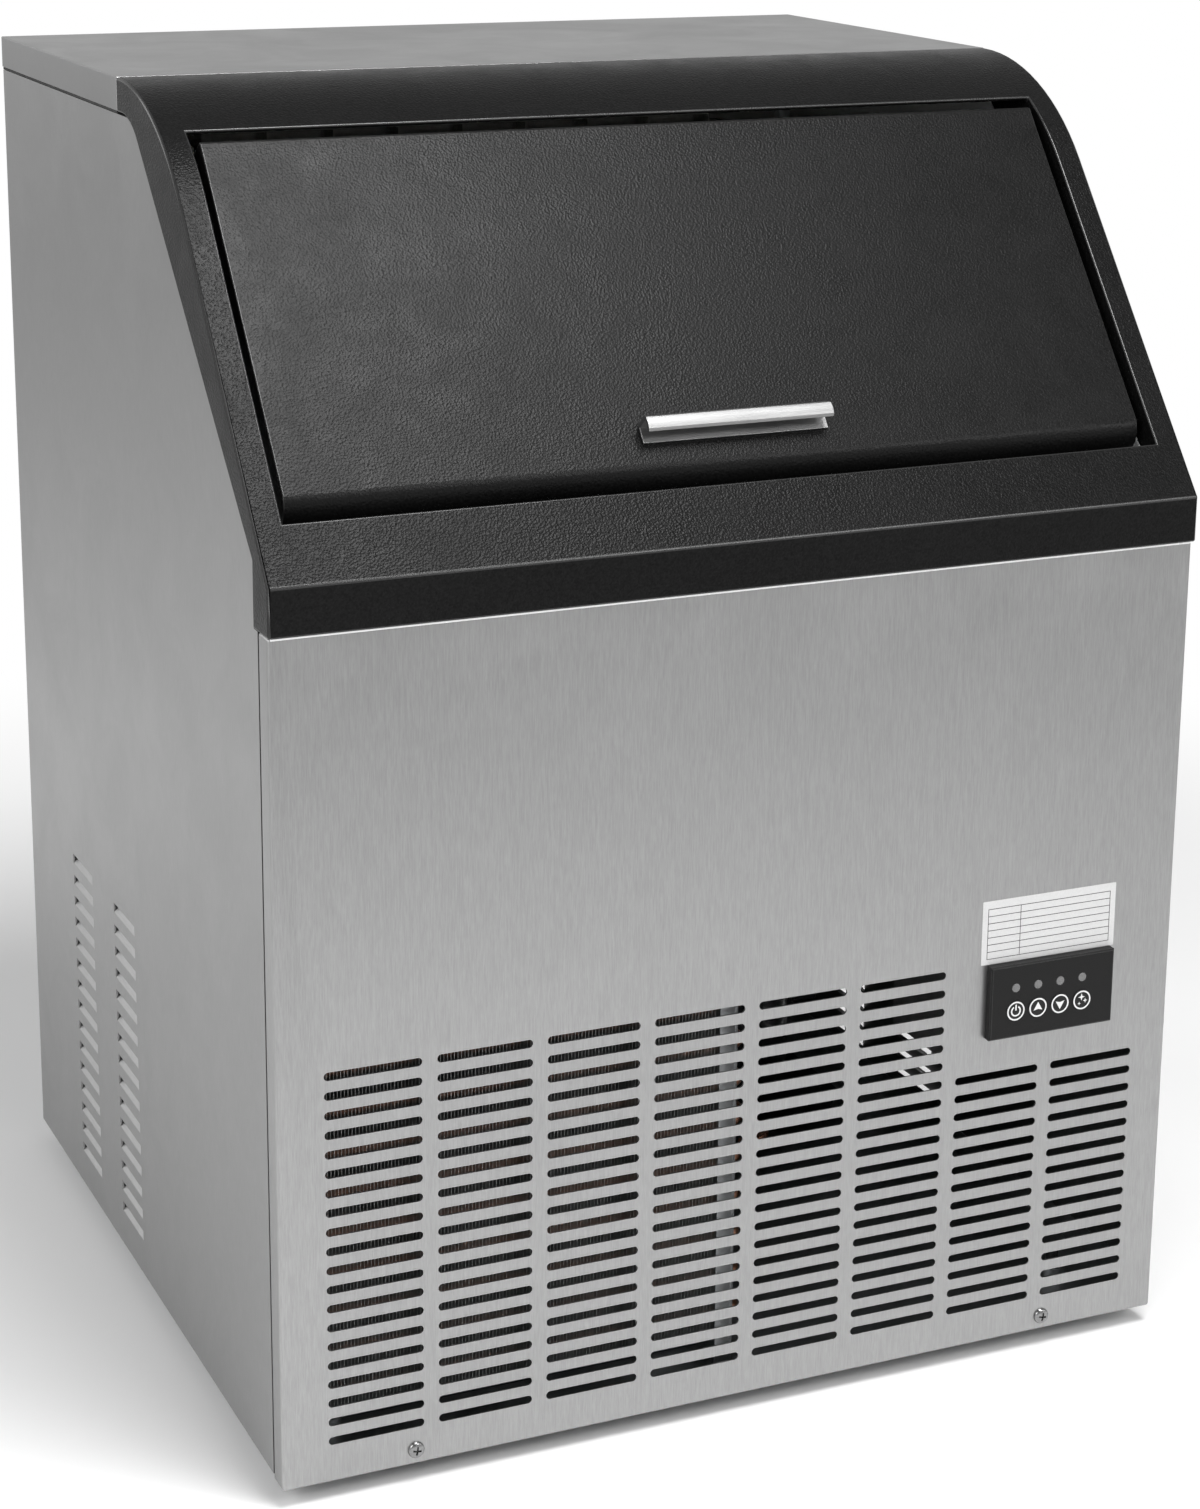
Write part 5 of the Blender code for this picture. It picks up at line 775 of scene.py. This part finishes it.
COIL_LEFT = -0.284
COIL_RIGHT = 0.014
COIL_PLATE = 0.002
COIL_FRONT = 0.014
COIL_BACK = 0.060
COIL_LOW = 0.0050
COIL_TOP = 0.262
BEND_ROOM = 0.0165
PLATE_RIGHT = COIL_RIGHT - BEND_ROOM
PLATE_CORNER = 0.0004
LIP_WIDTH = 0.010
LIP_THICKNESS = 0.0015
LIP_CORNER = 0.0003
FIN_LOW = 0.0330
FIN_COUNT = 118
FIN_THICKNESS = 0.00025
FIN_MARGIN = 0.020
FIN_INSET = 0.003
FIN_TOP_GAP = 0.002
TUBE_ROWS = 9
TUBE_RADIUS = 0.0045
TUBE_SIDES = 12
TUBE_INSET = 0.013
TUBE_MARGIN = 0.012
TUBE_GAP_LEFT = 0.0050
TUBE_GAP_RIGHT = 0.0025
TUBE_LEFT = COIL_LEFT + COIL_PLATE + TUBE_GAP_LEFT
TUBE_RIGHT = PLATE_RIGHT - TUBE_GAP_RIGHT
TUBE_BEND_X = PLATE_RIGHT + COIL_PLATE / 2
TUBE_BEND_STEPS = 10


def make_condenser_fins():
    bm = bmesh.new()
    left = COIL_LEFT + FIN_MARGIN
    right = COIL_RIGHT - FIN_MARGIN
    step = (right - left) / (FIN_COUNT - 1)
    front = COIL_FRONT + FIN_INSET
    back = COIL_BACK - FIN_INSET
    for number in range(FIN_COUNT):
        x = left + number * step
        slab(bm, (x, front, FIN_LOW), (x + FIN_THICKNESS, back, COIL_TOP - FIN_TOP_GAP))
    fins = add_piece("condenser_fins", bm, FIN_METAL, "cabinet")
    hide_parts("condenser")


def make_condenser_plates():
    """The two end plates, each with a lip folded in at its front."""
    bm = bmesh.new()
    for x in (COIL_LEFT, PLATE_RIGHT):
        plate = slab(bm, (x, COIL_FRONT, COIL_LOW), (x + COIL_PLATE, COIL_BACK, COIL_TOP))
        soften(bm, edges_of(plate), PLATE_CORNER, 1)
    for x in (COIL_LEFT + COIL_PLATE, PLATE_RIGHT - LIP_WIDTH):
        high = (x + LIP_WIDTH, COIL_FRONT + LIP_THICKNESS, COIL_TOP)
        lip = slab(bm, (x, COIL_FRONT, COIL_LOW), high)
        soften(bm, edges_of(lip), LIP_CORNER, 1)
    add_piece("condenser_plates", bm, ZINC, "cabinet")


def make_condenser_tubes():
    """Two rows of straight tubes, joined by a bend at the right of every pair."""
    bm = bmesh.new()
    pitch = (COIL_TOP - FIN_LOW - 2 * TUBE_MARGIN) / (TUBE_ROWS - 1)
    front = COIL_FRONT + TUBE_INSET
    back = COIL_BACK - TUBE_INSET
    for row in range(TUBE_ROWS):
        z = FIN_LOW + TUBE_MARGIN + row * pitch
        for y in (front, back):
            tube = bmesh.ops.create_cone(
                bm,
                segments=TUBE_SIDES,
                radius1=TUBE_RADIUS,
                radius2=TUBE_RADIUS,
                depth=TUBE_RIGHT - TUBE_LEFT,
            )["verts"]
            turned(bm, tube, QUARTER_TURN, "Y")
            bmesh.ops.translate(bm, verts=tube, vec=((TUBE_LEFT + TUBE_RIGHT) / 2, y, z))
        ring = bmesh.ops.create_circle(bm, segments=TUBE_SIDES, radius=TUBE_RADIUS)["verts"]
        turned(bm, ring, QUARTER_TURN, "Y")
        bmesh.ops.translate(bm, verts=ring, vec=(TUBE_BEND_X, front, z))
        bmesh.ops.spin(
            bm,
            geom=list(ring) + edges_of(ring),
            cent=(TUBE_BEND_X, (front + back) / 2, z),
            axis=(0, 0, 1),
            angle=math.pi,
            steps=TUBE_BEND_STEPS,
            use_merge=False,
        )
    bmesh.ops.remove_doubles(bm, verts=bm.verts, dist=MERGED)
    bmesh.ops.recalc_face_normals(bm, faces=bm.faces)
    add_piece("condenser_tubes", bm, COPPER, "cabinet")


# Pieces that keep the CAD shape, with rounded edges


FLAP_LIFT = 0.0036

# Where the tips of the flaps lie: in from the side's face, back from the front sheet, up from the floor
FLAP_INWARD = (0.004, 0.007)
FLAP_BACKWARD = (0.29, 0.45)
FLAP_UPWARD = (0.02, 0.262)


def raise_flaps(bm):
    """Bends the louvre flaps up so that they stand at about 45 degrees behind their slots."""
    tips = [
        v
        for v in bm.verts
        if within(HALF_WIDTH - abs(v.co.x), FLAP_INWARD)
        and within(v.co.y + MIDDLE_Y, FLAP_BACKWARD)
        and within(v.co.z, FLAP_UPWARD)
    ]
    bmesh.ops.translate(bm, verts=tips, vec=(0, 0, FLAP_LIFT))
    # The flap faces take the second material, a lighter steel painted as if lit from above
    for face in {face for tip in tips for face in tip.link_faces}:
        face.material_index = 1


EDGE_LIMIT = math.radians(36)
SIDE_CORNER = 0.00025
KEY_CORNER = 0.0002
LENS_CORNER = 0.0001
GROMMET_CORNER = 0.0004

# Piece, CAD node, material and width of the rounded edges, which have the trim_edge finish
EDGED = (
    ("front_frame", "fascia", TRIM, 0.0011),
    ("door_skin", "door_outer", DOOR_SKIN, 0.0008),
    ("panel_housing", "control_housing", PANEL_BLACK, 0.0005),
)

# Piece, CAD node, material, width of the rounded edges and steps across them
DRESSED = (
    ("back_sheet", "back_panel", ZINC, 0.0002, 1),
    ("cover_sheet", "top_cover", COVER_STEEL, 0.0009, 3),
    ("cover_seal", "cover_gasket", RUBBER, 0.0002, 1),
    ("cover_foam", "cover_insulation", FOAM, 0.001, 2),
    ("base_sheet", "base_pan", ZINC, 0.0002, 1),
    ("door_inside", "door_liner", WHITE_PLASTIC, 0.0006, 2),
    ("door_pull", "door_handle", PULL_METAL, 0.0003, 2),
    ("arm_left", "door_arm_left", WHITE_PLASTIC, 0.0005, 2),
    ("arm_right", "door_arm_right", WHITE_PLASTIC, 0.0005, 2),
    ("electrics_case", "electrical_box", ZINC, 0.0008, 2),
    ("bin_tub", "bin_liner", WHITE_PLASTIC, 0.0005, 2),
    ("bin_foam", "bin_insulation", FOAM, 0, 1),
    ("deck_sheet", "bin_deck", ZINC, 0.0003, 1),
    ("drain_tube", "drain_hose", RUBBER, 0.0004, 1),
    ("drain_tail", "drain_spigot", WHITE_PLASTIC, 0.0004, 2),
    ("ice_plate", "evaporator", NICKEL, 0.0002, 1),
    ("ice_coil", "evaporator_coil", COPPER, 0.0003, 1),
    ("spray_tube", "water_distributor", WHITE_PLASTIC, 0.0006, 2),
    ("water_tray", "water_trough", WHITE_PLASTIC, 0.0005, 2),
    ("curtain", "splash_curtain", CLEAR_PLASTIC, 0.0004, 2),
    ("pump_case", "circulation_pump", PANEL_BLACK, 0.0005, 2),
    ("pump_tube", "pump_hose", CLEAR_PLASTIC, 0.0004, 1),
    ("float_body", "float_ring", WHITE_PLASTIC, 0.0005, 2),
    ("inlet_valve", "water_inlet_valve", WHITE_PLASTIC, 0.0005, 2),
    ("compressor_shell", "compressor", BLACK_PAINT, 0.0006, 2),
    ("shroud_sheet", "fan_shroud", ZINC, 0.0004, 1),
    ("motor_case", "fan_motor", BLACK_PAINT, 0.0005, 2),
    ("fan_wheel", "fan_blades", FIN_METAL, 0.0004, 1),
    ("motor_bracket", "fan_bracket", ZINC, 0.0003, 1),
    ("drier_shell", "filter_drier", COPPER, 0.0004, 1),
    ("hot_pipe", "discharge_pipe", COPPER, 0.0003, 1),
    ("cold_pipe", "suction_pipe", COPPER, 0.0003, 1),
    ("gland_body", "cord_gland", PANEL_BLACK, 0.0004, 2),
    ("left_front_foot", "foot_front_left", RUBBER, 0.0005, 2),
    ("right_front_foot", "foot_front_right", RUBBER, 0.0005, 2),
    ("left_rear_foot", "foot_rear_left", RUBBER, 0.0005, 2),
    ("right_rear_foot", "foot_rear_right", RUBBER, 0.0005, 2),
)


def set_key_back(bm):
    """Lowers a key's face by the thickness of its print."""
    front = min(v.co.y for v in bm.verts)
    face = [v for v in bm.verts if v.co.y < front + KEY_SETBACK]
    bmesh.ops.translate(bm, verts=face, vec=(0, KEY_SETBACK, 0))


def make_dressed_pieces():
    """Every piece that keeps its CAD shape; the flaps of the side sheets get a lighter steel, painted
    as if lit from above.
    """
    for hand, _ in HANDS:
        name, cad_node = f"side_sheet_{hand}", f"side_{hand}"
        sheet = dressed(name, cad_node, SIDE_SHADED_STEEL, SIDE_CORNER, 1, shape=raise_flaps)
        sheet.data.materials.append(FLAP_LIT_STEEL)
    for name, cad_node, material, width in EDGED:
        dressed(name, cad_node, material, width, 3, EDGE_LIMIT, edge=TRIM_EDGE)
    for piece in DRESSED:
        dressed(*piece)
    for number in range(1, 5):
        name, cad_node = f"key_{number}", f"button_{number}"
        dressed(name, cad_node, KEY_BLACK, KEY_CORNER, shape=set_key_back)
        dressed(f"lens_{number}", f"indicator_{number}", LENS, LENS_CORNER)
        dressed(f"grommet_{number}", f"compressor_grommet_{number}", RUBBER, GROMMET_CORNER)


# Floor, light and camera


WORLD_LIGHT = 0.34
FLOOR_NEAR = 0.75
FLOOR_FAR = 1.5
MIRRORED_NEAR = 0.7
MIRRORED_FAR = 2.0
MIRRORED_SHARE = 0.2
CEILING_LOW = 0.02
CEILING_HIGH = 0.50
FLOOR_REACH = 12.0
FLOOR_TONES = (0.86, 0.90)
FLOOR_CLOUDS = 1.5
WHITE = (1, 1, 1, 1)


def seen_directly(tree, mirrored):
    """1 for camera and glass rays, and the share that the mirrored socket gives for mirror rays."""
    path = node(tree, "LightPath")
    first = calculate(tree, "MAXIMUM")
    second = calculate(tree, "MAXIMUM")
    part = calculate(tree, "MULTIPLY")
    wire(
        tree,
        (path.outputs["Is Glossy Ray"], part.inputs[0]),
        (mirrored, part.inputs[1]),
        (path.outputs["Is Camera Ray"], first.inputs[0]),
        (path.outputs["Is Transmission Ray"], first.inputs[1]),
        (first.outputs[0], second.inputs[0]),
        (part.outputs[0], second.inputs[1]),
    )
    return second.outputs[0]


def make_world():
    """Soft light from all round, and a white background that mirror rays see less of overhead."""
    world = bpy.data.worlds.new("studio")
    bpy.context.scene.world = world
    world.use_nodes = True
    tree = world.node_tree
    lit = tree.nodes["Background"]
    lit.inputs["Color"].default_value = WHITE
    lit.inputs["Strength"].default_value = WORLD_LIGHT
    shown = node(tree, "Background", None, {"Color": WHITE, "Strength": 1.0})
    place = node(tree, "TexCoord")
    height = node(tree, "SeparateXYZ")
    ceiling = ramp(tree, CEILING_LOW, CEILING_HIGH, 1.0, 0.0)
    wire(
        tree,
        (place.outputs["Generated"], height.inputs[0]),
        (height.outputs["Z"], ceiling.inputs["Value"]),
    )
    blend = node(tree, "MixShader")
    wire(
        tree,
        (seen_directly(tree, ceiling.outputs[0]), blend.inputs["Fac"]),
        (lit.outputs[0], blend.inputs[1]),
        (shown.outputs[0], blend.inputs[2]),
        (blend.outputs[0], tree.nodes["World Output"].inputs["Surface"]),
    )


def make_floor():
    """A pale floor that keeps the shadow near the cabinet and fades to plain white further off."""
    bm = bmesh.new()
    bmesh.ops.create_grid(bm, x_segments=1, y_segments=1, size=FLOOR_REACH)
    mesh = bpy.data.meshes.new("studio_floor")
    bm.to_mesh(mesh)
    bm.free()
    floor = bpy.data.objects.new("studio_floor", mesh)
    bpy.context.scene.collection.objects.link(floor)
    paint, tree, shader = new_material("floor_paint", {"Roughness": 0.9, "Specular IOR Level": 0.1})
    place = node(tree, "TexCoord")
    cloud = placed(tree, CLOUDS, {"Size": FLOOR_CLOUDS})
    tone = two_tone(tree, cloud.outputs["Cloud"], *map(grey, FLOOR_TONES))
    reach = node(tree, "VectorMath", {"operation": "LENGTH"})
    fade = ramp(tree, FLOOR_NEAR, FLOOR_FAR, 0.0, 1.0)
    fade.interpolation_type = "SMOOTHSTEP"
    both = calculate(tree, "MULTIPLY")
    dimmer = ramp(tree, MIRRORED_NEAR, MIRRORED_FAR, 1.0, MIRRORED_SHARE)
    white = node(tree, "Emission", None, {"Color": WHITE, "Strength": 1.0})
    blend = node(tree, "MixShader")
    wire(
        tree,
        (place.outputs["Object"], cloud.inputs["Vector"]),
        (tone, shader.inputs["Base Color"]),
        (place.outputs["Object"], reach.inputs[0]),
        (reach.outputs["Value"], fade.inputs["Value"]),
        (fade.outputs[0], both.inputs[0]),
        (reach.outputs["Value"], dimmer.inputs["Value"]),
        (seen_directly(tree, dimmer.outputs[0]), both.inputs[1]),
        (both.outputs[0], blend.inputs["Fac"]),
        (shader.outputs[0], blend.inputs[1]),
        (white.outputs[0], blend.inputs[2]),
        (blend.outputs[0], tree.nodes["Material Output"].inputs["Surface"]),
    )
    mesh.materials.append(paint)


# Name, place, what it is aimed at, width, height and power in watts
LAMPS = (
    ("top_light", (0.22, -1.0, 2.6), (0, -0.2, 0.5), 0.9, 0.9, 54),
    ("left_light", (-2.1, -1.2, 1.5), (0, 0, 0.5), 1.4, 1.4, 24),
    ("front_light", (1.15, -2.2, 1.9), (0, 0, 0.5), 1.1, 0.6, 16),
    ("back_light", (-1.9, 1.5, 1.6), (-0.5, 0.5, 0), 1.2, 1.2, 12),
    ("right_light", (2.2, -1.8, 1.4), (0, 0, 0.4), 1.4, 1.4, 7),
)


def soft_box(name, spot, target, width, height, power):
    light = bpy.data.lights.new(name, "AREA")
    light.shape = "RECTANGLE"
    light.size = width
    light.size_y = height
    light.energy = power
    made = bpy.data.objects.new(name, light)
    made.location = spot
    made.rotation_euler = (Vector(target) - Vector(spot)).to_track_quat("-Z", "Y").to_euler()
    bpy.context.scene.collection.objects.link(made)


CAMERA_SPOT = Vector((-0.814, -1.609, 0.994)) + TO_FRAME
CAMERA_YAW = math.radians(23.89)
CAMERA_PITCH = math.radians(14.51)
CAMERA_ROLL = math.radians(0.49)
CAMERA_FOCAL_PIXELS = 3192.0
PHOTO_HEIGHT_PIXELS = 1509.0
CAMERA_SHIFT = -0.12
SENSOR_HEIGHT_MM = 36.0
NEAREST_SEEN = 0.01


def make_camera():
    data = bpy.data.cameras.new("photo_view")
    data.sensor_width = SENSOR_HEIGHT_MM
    data.lens = CAMERA_FOCAL_PIXELS * SENSOR_HEIGHT_MM / PHOTO_HEIGHT_PIXELS
    data.shift_y = CAMERA_SHIFT
    data.clip_start = NEAREST_SEEN
    camera = bpy.data.objects.new("photo_view", data)
    turn = (
        Matrix.Rotation(-CAMERA_YAW, 4, "Z")
        @ Matrix.Rotation(QUARTER_TURN - CAMERA_PITCH, 4, "X")
        @ Matrix.Rotation(CAMERA_ROLL, 4, "Z")
    )
    camera.matrix_world = Matrix.Translation(CAMERA_SPOT) @ turn
    bpy.context.scene.collection.objects.link(camera)
    bpy.context.scene.camera = camera


make_camera()
make_front_sheet()
make_seam_shade_strips()
make_front_screws()
make_hem_highlight()
make_label()
make_dressed_pieces()
make_key_prints()
make_condenser_fins()
make_condenser_plates()
make_condenser_tubes()
make_world()
make_floor()
for lamp in LAMPS:
    soft_box(*lamp)
bpy.context.scene.view_settings.view_transform = "Standard"
